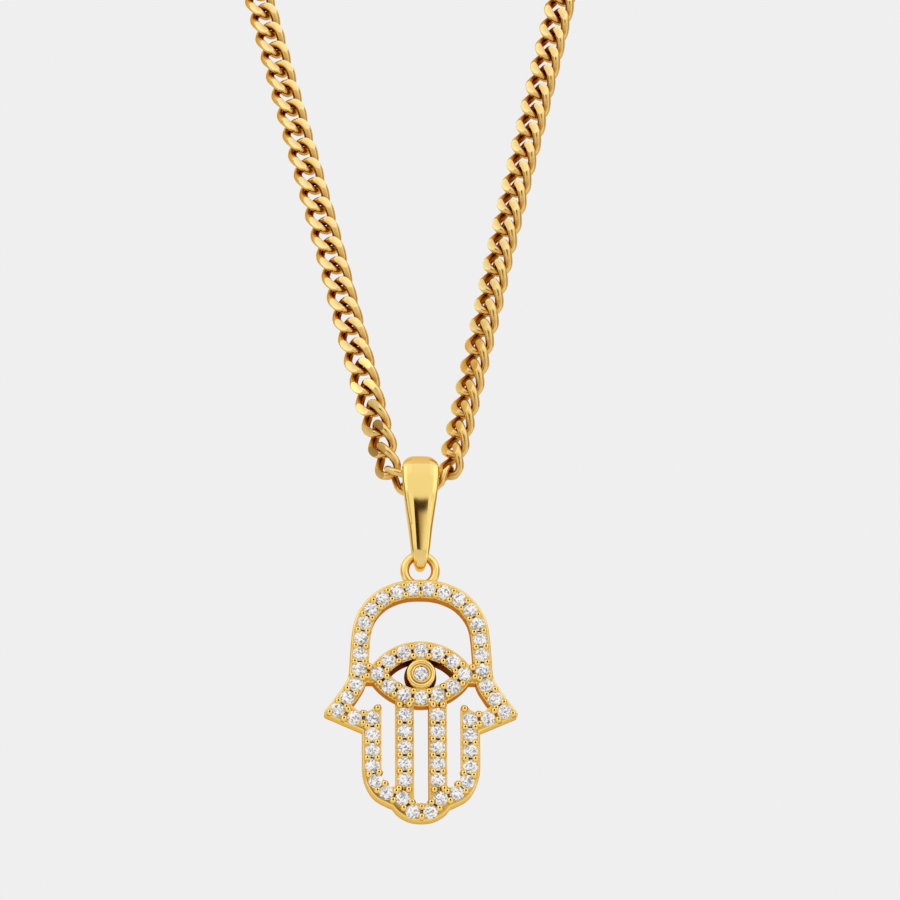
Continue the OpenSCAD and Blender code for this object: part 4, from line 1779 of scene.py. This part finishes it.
@dataclass
class Chain:
    """The flat curb chain, as a whole loop through the bail and round the neck."""

    pitch: float = 2.42
    width: float = 3.02
    wire: float = 0.86
    lap: float = 0.04
    twist: float = 0.56
    flat: float = 0.725
    girth_in_bail: float = 0.80
    # Links from the bail's middle to where the girth starts to grow, and over how many it grows
    girth_start: float = 1.2
    girth_run: float = 1.2
    links_a_side: int = 21
    fine_links_behind: int = 6
    # Faces along and around the wire of a link, where it is seen near by and far off
    fine_sides: tuple[int, int] = (36, 14)
    coarse_sides: tuple[int, int] = (12, 5)
    # Points of the path to each link, and steps between two places of the route
    path_steps: int = 6
    route_steps: int = 12
    clasp_reach: float = 6.0
    clasp_gap: float = 0.6
    loop_w: float = 101.0
    loop_d: float = 132.6
    loop_h: float = 215.5
    neck_axis_share: float = 0.6335

    # Right half of the run through the bail and above it, in millimetres from the bail's pivot
    bail_route: tuple[tuple[float, float, float], ...] = (
        (0, 0, -0.4), (0.73, 0, -0.69), (1.93, 0.1, 0.29), (3.1, 0.435, 1.69), (3.53, 0.88, 3.72),
        (4.4, 1.85, 7.4), (5.5, 3.05, 12.3),
    )
    # The rest up to the nape, in shares of half the loop's width, its depth and its height
    loop_shares: tuple[tuple[float, float, float], ...] = (
        (0.1426, 0.0373, 0.0923), (0.178, 0.0528, 0.130), (0.283, 0.095, 0.2343), (0.396, 0.1433, 0.348),
        (0.505, 0.1855, 0.450), (0.693, 0.2753, 0.6033), (0.8574, 0.381, 0.7216), (0.970, 0.513, 0.8144),
        (1, 0.6523, 0.884), (0.911, 0.7843, 0.935), (0.713, 0.8974, 0.972), (0.402, 0.9744, 0.993),
        (0, 1, 1),
    )
    # Turn of the flat face about the run, in degrees, by the number of links from the bail
    face_turns: tuple[Point, ...] = (
        (-37, 0), (-20.7, -22), (-15.7, -12), (-10.7, 0), (-6.2, 18), (-3.3, 38), (-1.65, 52),
        (1.65, 118), (3.3, 124), (6.2, 127), (10.7, 135), (15.7, 142), (20.7, 148), (49.6, 180),
    )

    # Shares of painted shade: of the way inwards, of the depth and of the ends, and where it starts
    inward_level: float = 1.1
    depth_level: float = 0.45
    end_level: float = 0.25
    painted_shade_start: float = 0.36
    # Least painted shade beside the filed faces, and how fast it is reached
    side_level: float = 0.14
    side_rise: float = 8.0

    def __post_init__(self) -> None:
        """Works out a link's middle line, and finds the start of the route in the frame."""
        self.half_l = (self.pitch + self.wire + self.lap) / 2
        self.half_w = (self.width - self.wire) / 2
        low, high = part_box("bail")
        clasp_low, clasp_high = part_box("clasp")
        nape = Vector((
            (low[0] + high[0]) / 2, (clasp_low[1] + clasp_high[1]) / 2, (clasp_low[2] + clasp_high[2]) / 2,
        ))
        far = (self.loop_w / 2, self.loop_d, self.loop_h)
        route = [*self.bail_route, *(tuple(s * f for s, f in zip(share, far)) for share in self.loop_shares)]
        self.origin = nape - Vector(route[-1]) * MM
        self.line = spline(route, self.route_steps)
        self.way = lengths(self.line)

    def _at(self, s: float) -> Vector:
        """Finds a place on the chain.

        Args:
            s: The way from the bail in millimetres, negative on the left.

        Returns:
            The place in metres.
        """
        x, y, z = along(self.line, self.way, abs(s))
        return self.origin + Vector((math.copysign(x, s) if s else x, y, z)) * MM

    def _turn(self, s: float) -> float:
        """Measures the turn of the flat face.

        Args:
            s: The way from the bail in millimetres.

        Returns:
            The turn in radians.
        """
        links = s / self.pitch
        turns = self.face_turns
        if links <= turns[0][0]:
            return math.radians(turns[0][1])
        for (a, low), (b, high) in zip(turns, turns[1:]):
            if links <= b:
                return math.radians(low + (high - low) * (links - a) / (b - a))
        return math.radians(turns[-1][1])

    def _girth(self, s: float) -> Vector:
        """Sizes a link, a little narrower inside the bail.

        Args:
            s: The way from the bail in millimetres.

        Returns:
            Its length, width and height in shares of the full ones.
        """
        share = min(max((abs(s) / self.pitch - self.girth_start) / self.girth_run, 0.0), 1.0)
        size = self.girth_in_bail + (1 - self.girth_in_bail) * share
        return Vector(((1 + size) / 2, size, size))

    def _directions(self, s: float) -> tuple[Vector, Vector]:
        """Finds how the chain lies at a place.

        Args:
            s: The way from the bail in millimetres.

        Returns:
            The direction of its run, and the one that its flat face looks in.
        """
        reach = self.pitch / 2
        run = (self._at(s + reach) - self._at(s - reach)).normalized()
        out = self._at(s) - self.origin - Vector((0, self.neck_axis_share * self.loop_d * MM, 0))
        out.z = 0
        level = out.normalized()
        face = (level - level.dot(run) * run).normalized()
        turn = self._turn(s)
        return run, face * math.cos(turn) + run.cross(face) * math.sin(turn)

    def _link(self, name: str, sides: tuple[int, int]) -> bpy.types.Object:
        """Builds one twisted link of round wire, with both flat faces filed.

        Args:
            name: Name of the helper object.
            sides: Faces along the wire and around it.

        Returns:
            The link, lying along X with its faces towards Z.
        """
        around, wire_sides = sides
        bm = bmesh.new()
        r = self.wire / 2
        sections = []
        for i in range(around):
            t = math.tau * (i + 0.5) / around
            x, y, z = self.half_l * math.cos(t), self.half_w * math.sin(t), -self.twist * math.sin(2 * t)
            centre = Vector((x, y, z))
            way = Vector((
                -self.half_l * math.sin(t), self.half_w * math.cos(t), -2 * self.twist * math.cos(2 * t),
            ))
            u = way.cross(Vector((0, 0, 1))).normalized()
            v = way.cross(u).normalized()
            angles = (math.tau * (k + 0.5) / wire_sides for k in range(wire_sides))
            sections.append([(centre + (u * math.cos(a) + v * math.sin(a)) * r) * MM for a in angles])
        join_sections(bm, sections, Ends.JOINED)
        face_outwards(bm)
        filed: list[bmesh.types.BMEdge] = []
        for side in (1, -1):
            cut = bmesh.ops.bisect_plane(
                bm, geom=[*bm.verts, *bm.edges, *bm.faces],
                plane_co=(0, 0, side * self.flat * MM), plane_no=(0, 0, side), clear_outer=True,
            )
            edges = [e for e in cut["geom_cut"] if isinstance(e, bmesh.types.BMEdge)]
            bmesh.ops.holes_fill(bm, edges=edges, sides=0)
            filed += edges
        for face in bm.faces:
            face.smooth = True
        for edge in filed:
            if edge.is_valid:
                edge.smooth = False
        link = new_object(name, bm)
        self._mark_painted_shade(link)
        return link

    def _mark_painted_shade(self, link: bpy.types.Object) -> None:
        """Paints shade: darker the deeper each point lies between the neighbouring links.

        Args:
            link: The link.
        """
        mesh = link.data
        r = self.wire / 2
        values = []
        for vertex in mesh.vertices:
            x, y, z = vertex.co / MM
            inward = 1.0 - math.hypot(x / (self.half_l + r), y / (self.half_w + r))
            depth = 1.0 - abs(z) / self.flat
            ends = min(abs(x) / self.half_l, 1.0)
            # Shade is painted darker inwards, away from the filed faces and towards the link's ends
            level = inward * self.inward_level + depth * self.depth_level + ends * self.end_level
            beside = self.side_level * min(depth * self.side_rise, 1.0)
            values.append(min(max(level - self.painted_shade_start, beside), 1.0))
        mesh.attributes.new("painted_shade", "FLOAT", "POINT").data.foreach_set("value", values)

    def _piece(self, name: str, node: str, paths: Sequence[Sequence[float]], count: int,
               shape: bpy.types.Object, gold: bpy.types.Material) -> bpy.types.Object:
        """Threads links along paths and hands them to the frame.

        Args:
            name: Name of the piece.
            node: The frame's node that it replaces.
            paths: Each path as ways from the bail in millimetres.
            count: Number of links on each path.
            shape: The link, which is removed afterwards.
            gold: Its finish.

        Returns:
            The piece.
        """
        marks = [self._directions(s) for path in paths for s in path]
        directions = {
            "run": [run for run, _ in marks], "face": [face for _, face in marks],
            "girth": [self._girth(s) for path in paths for s in path],
        }
        lines = [[self._at(s) for s in path] for path in paths]
        host = host_of_paths(f"{name}_path", lines, False, directions)
        piece = grow(host, chain_tree(), {"Link": shape, "Count": count, "Material": gold}, name)
        drop_helper(shape)
        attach(piece, Body.NECKLACE.value)
        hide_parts(node)
        return piece

    def build(self, gold: bpy.types.Material) -> list[bpy.types.Object]:
        """Builds the front links and the back links.

        Args:
            gold: Their finish.

        Returns:
            The three pieces.
        """
        fine = self.path_steps
        last = self.links_a_side * self.pitch
        steps = 2 * self.links_a_side * fine
        front = [-last + self.pitch * k / fine for k in range(steps + 1)]
        end = self.way[-1] - self.clasp_reach - self.clasp_gap
        count = round((end - last) / self.pitch)
        step = (end - last) / count
        near = self.fine_links_behind

        def both_sides(first: int, links: int) -> list[list[float]]:
            """Lays a run of back links out.

            Args:
                first: Number of its first link, from the last front link on.
                links: How many links it has.

            Returns:
                Its path on the left and on the right, as ways from the bail.
            """
            return [
                [side * (last + step * (first + k / fine)) for k in range((links - 1) * fine + 1)]
                for side in (-1, 1)
            ]

        links, far = 2 * self.links_a_side + 1, count - near
        side, back = both_sides(1, near), both_sides(near + 1, far)
        fine_link = self._link("link_shape", self.fine_sides)
        front_piece = self._piece("curb_links_front", "chain_front", [front], links, fine_link, gold)
        fine_link = self._link("side_link_shape", self.fine_sides)
        side_piece = self._piece("curb_links_side", "chain_back", side, near, fine_link, gold)
        plain_link = self._link("back_link_shape", self.coarse_sides)
        back_piece = self._piece("curb_links_back", "chain_back", back, far, plain_link, gold)
        return [front_piece, side_piece, back_piece]


# The studio


@dataclass(frozen=True)
class SoftBox:
    """A soft lamp that faces the pendant."""

    name: str
    azimuth: float
    elevation: float
    distance: float
    size: tuple[float, float]
    power: float


@dataclass(frozen=True)
class Card:
    """A part of the surroundings, with soft edges.

    It shows where all its ramps are full. Each ramp names what it goes by, a direction of the frame or
    the square of X, and says where it is empty and where it is full.
    """

    colour: Colour
    ramps: tuple[tuple[str, float, float], ...]


IN_FRONT = ("Y", -0.25, -0.45)
UNDER_SCREEN = ("Z", 0.195, 0.165)


@dataclass
class Studio:
    """Pale floor, surroundings, lamps and camera."""

    target: Vector
    azimuth: float = -3.5
    elevation: float = -16.7
    roll: float = -0.36
    distance: float = 0.55
    lens: float = 228.8
    right: float = 2.78
    up: float = 21.51
    clip: tuple[float, float] = (0.01, 20.0)
    backdrop: Colour = (0.863, 0.863, 0.863)
    shade: Colour = (0.33, 0.25, 0.15)
    floor_half: float = 3.0
    floor_drop: float = 0.32
    floor_roughness: float = 0.6
    lamps: tuple[SoftBox, ...] = (
        SoftBox("lamp_above", azimuth=0, elevation=52, distance=0.7, size=(1.6, 0.7), power=0.3),
        SoftBox("lamp_left", azimuth=-62, elevation=6, distance=0.7, size=(0.34, 0.9), power=0.3),
        SoftBox("lamp_right", azimuth=62, elevation=8, distance=0.7, size=(0.34, 0.9), power=0.3),
    )
    # From the first, which lies under all others: below, right front, beside the middle, far aside, the
    # screen in front, above, overhead, behind, and two dark gaps under the screen
    cards: tuple[Card, ...] = (
        Card((0.58, 0.50, 0.40), (("Z", -0.10, -0.45),)),
        Card((0.90, 0.86, 0.78), (IN_FRONT, ("X", -0.02, 0.22), ("Z", 0.20, 0.10))),
        Card((0.94, 0.93, 0.90), (IN_FRONT, ("X squared", 0.15, 0.20), ("X squared", 0.56, 0.50))),
        Card((0.62, 0.56, 0.46), (IN_FRONT, ("X squared", 0.60, 0.66), ("X squared", 0.97, 0.90))),
        Card((0.90, 0.88, 0.84), (IN_FRONT, ("Z", 0.165, 0.195))),
        Card((0.98, 1.03, 1.22), (("Z", 0.30, 0.55),)),
        Card((0.80, 0.72, 0.62), (("Z", 0.86, 0.96),)),
        Card((0.80, 0.68, 0.54), (("Y", -0.10, 0.40),)),
        Card((0.05, 0.022, 0.01), (
            IN_FRONT, UNDER_SCREEN, ("X", 0.03, -0.03), ("X", -0.20, -0.14), ("Z", -0.22, -0.14),
        )),
        Card((0.05, 0.022, 0.01), (
            IN_FRONT, UNDER_SCREEN, ("X", 0.22, 0.12), ("X", -0.20, -0.14), ("Z", 0.08, 0.13),
        )),
    )

    @staticmethod
    def _way(azimuth: float, elevation: float) -> Vector:
        """Finds the direction from the pendant towards a place.

        Args:
            azimuth: Its angle round the pendant in degrees, 0 in front.
            elevation: Its angle upwards in degrees.

        Returns:
            The direction.
        """
        a, e = math.radians(azimuth), math.radians(elevation)
        return Vector((math.sin(a) * math.cos(e), -math.cos(a) * math.cos(e), math.sin(e)))

    def build(self) -> None:
        """Sets up the whole studio."""
        bpy.context.scene.view_settings.view_transform = "Standard"
        self._floor()
        self._surroundings()
        for box in self.lamps:
            self._lamp(box)
        self._camera()

    def _floor(self) -> None:
        """Lays the floor well under the pendant."""
        bm = bmesh.new()
        bmesh.ops.create_grid(bm, x_segments=1, y_segments=1, size=self.floor_half)
        floor = new_object("floor", bm)
        floor.location = (0, 0, self.target.z - self.floor_drop)
        mat = bpy.data.materials.new("floor_paint")
        mat.use_nodes = True
        shader = mat.node_tree.nodes["Principled BSDF"]
        shader.inputs["Base Color"].default_value = (*self.backdrop, 1.0)
        shader.inputs["Roughness"].default_value = self.floor_roughness
        floor.data.materials.append(mat)

    def _surroundings(self) -> None:
        """Gives the world a pale face for the camera, and light and dark parts for the gold to mirror."""
        world = bpy.data.worlds.new("studio")
        world.use_nodes = True
        bpy.context.scene.world = world
        nodes, links = world.node_tree.nodes, world.node_tree.links
        nodes.clear()

        def ramp(value: bpy.types.NodeSocket, start: float, stop: float) -> bpy.types.NodeSocket:
            """Makes a share that grows with a value, with soft ends.

            Args:
                value: The value.
                start: Where the share is 0.
                stop: Where it is 1.

            Returns:
                The share.
            """
            node = nodes.new("ShaderNodeMapRange")
            node.interpolation_type = "SMOOTHSTEP"
            links.new(value, node.inputs["Value"])
            for key, number in (("From Min", start), ("From Max", stop), ("To Min", 0.0), ("To Max", 1.0)):
                node.inputs[key].default_value = number
            return node.outputs["Result"]

        def blend(fac: bpy.types.NodeSocket, under: bpy.types.NodeSocket,
                  over: Colour) -> bpy.types.NodeSocket:
            """Lays a colour over another one.

            Args:
                fac: Share of the upper colour.
                under: The lower colour.
                over: The upper colour.

            Returns:
                The mixed colour.
            """
            node = nodes.new("ShaderNodeMix")
            node.data_type = "RGBA"
            links.new(fac, node.inputs["Factor"])
            links.new(under, node.inputs[MIX_UNDER])
            node.inputs[MIX_OVER].default_value = (*over, 1.0)
            return node.outputs[MIX_OUT]

        def both(a: bpy.types.NodeSocket, b: bpy.types.NodeSocket) -> bpy.types.NodeSocket:
            """Multiplies two values.

            Args:
                a: One value.
                b: The other one.

            Returns:
                Their product.
            """
            node = nodes.new("ShaderNodeMath")
            node.operation = "MULTIPLY"
            links.new(a, node.inputs[0])
            links.new(b, node.inputs[1])
            return node.outputs[0]

        place = nodes.new("ShaderNodeTexCoord")
        parts = nodes.new("ShaderNodeSeparateXYZ")
        links.new(place.outputs["Generated"], parts.inputs[0])
        values = {key: parts.outputs[key] for key in "XYZ"}
        values["X squared"] = both(values["X"], values["X"])
        base = nodes.new("ShaderNodeRGB")
        colour = base.outputs[0]
        colour.default_value = (*self.shade, 1.0)
        for card in self.cards:
            shares = [ramp(values[key], start, stop) for key, start, stop in card.ramps]
            colour = blend(reduce(both, shares), colour, card.colour)
        mirrored_part = nodes.new("ShaderNodeBackground")
        links.new(colour, mirrored_part.inputs["Color"])
        seen_part = nodes.new("ShaderNodeBackground")
        seen_part.inputs["Color"].default_value = (*self.backdrop, 1.0)
        ray = nodes.new("ShaderNodeLightPath")
        mix = nodes.new("ShaderNodeMixShader")
        out = nodes.new("ShaderNodeOutputWorld")
        links.new(ray.outputs["Is Camera Ray"], mix.inputs[0])
        links.new(mirrored_part.outputs[0], mix.inputs[1])
        links.new(seen_part.outputs[0], mix.inputs[2])
        links.new(mix.outputs[0], out.inputs["Surface"])

    def _lamp(self, box: SoftBox) -> None:
        """Hangs one soft lamp.

        Args:
            box: What it is like and where it hangs.
        """
        data = bpy.data.lights.new(box.name, "AREA")
        data.shape = "RECTANGLE"
        data.size, data.size_y = box.size
        data.energy = box.power
        lamp = bpy.data.objects.new(box.name, data)
        way = self._way(box.azimuth, box.elevation)
        lamp.location = self.target + way * box.distance
        lamp.rotation_euler = way.to_track_quat("Z", "Y").to_euler()
        bpy.context.scene.collection.objects.link(lamp)

    def _camera(self) -> None:
        """Puts the camera where the photo was taken from."""
        data = bpy.data.cameras.new("camera")
        data.lens = self.lens
        camera = bpy.data.objects.new("camera", data)
        way = self._way(self.azimuth, self.elevation)
        turn = way.to_track_quat("Z", "Y") @ Quaternion((0, 0, 1), math.radians(self.roll))
        middle = self.target + turn @ Vector((self.right, self.up, 0)) * MM
        camera.location = middle + way * self.distance
        camera.rotation_euler = turn.to_euler()
        data.clip_start, data.clip_end = self.clip
        bpy.context.scene.collection.objects.link(camera)
        bpy.context.scene.camera = camera


def main() -> None:
    """Builds every piece, dresses it and sets the studio."""
    logging.basicConfig(level=logging.INFO, format="%(message)s")
    # The pierced, bead, satin and chain golds paint shade where the mesh's levels ask for it
    pierced_gold = GoldWithPaintedShade("pierced_gold", roughness=0.11, ripple=0.12).material()
    bead_gold = GoldWithPaintedShade("bead_gold", roughness=0.06, wall_roughness=0.2).material()
    satin_gold = GoldWithPaintedShade("satin_gold", roughness=0.18).material()
    # The chain's painted shade colours run deeper than the others'
    chain_gold = GoldWithPaintedShade(
        "chain_gold", roughness=0.1, colour=(0.97, 0.75, 0.29), deep=(0.77, 0.47, 0.13),
        wall=(0.46, 0.21, 0.04), painted_shade=(0.08, 0.025, 0.004), wall_roughness=0.2,
    ).material()
    clasp_gold = GoldFinish("clasp_gold", roughness=0.17).material()
    bail_gold = GoldFinish("bail_gold", roughness=0.07).material()
    zirconia = StoneFinish("zirconia").material()
    hand = Hand()
    pieces = [
        *hand.build(pierced_gold, bead_gold, satin_gold, zirconia), Bail().build(bail_gold),
        *Chain().build(chain_gold),
    ]
    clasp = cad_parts["clasp"]
    clasp.data.materials.clear()
    clasp.data.materials.append(clasp_gold)
    for piece in pieces:
        log.info("%s: %d faces", piece.name, len(piece.data.polygons))
    Studio(hand.origin).build()


if __name__ == "__main__":
    main()
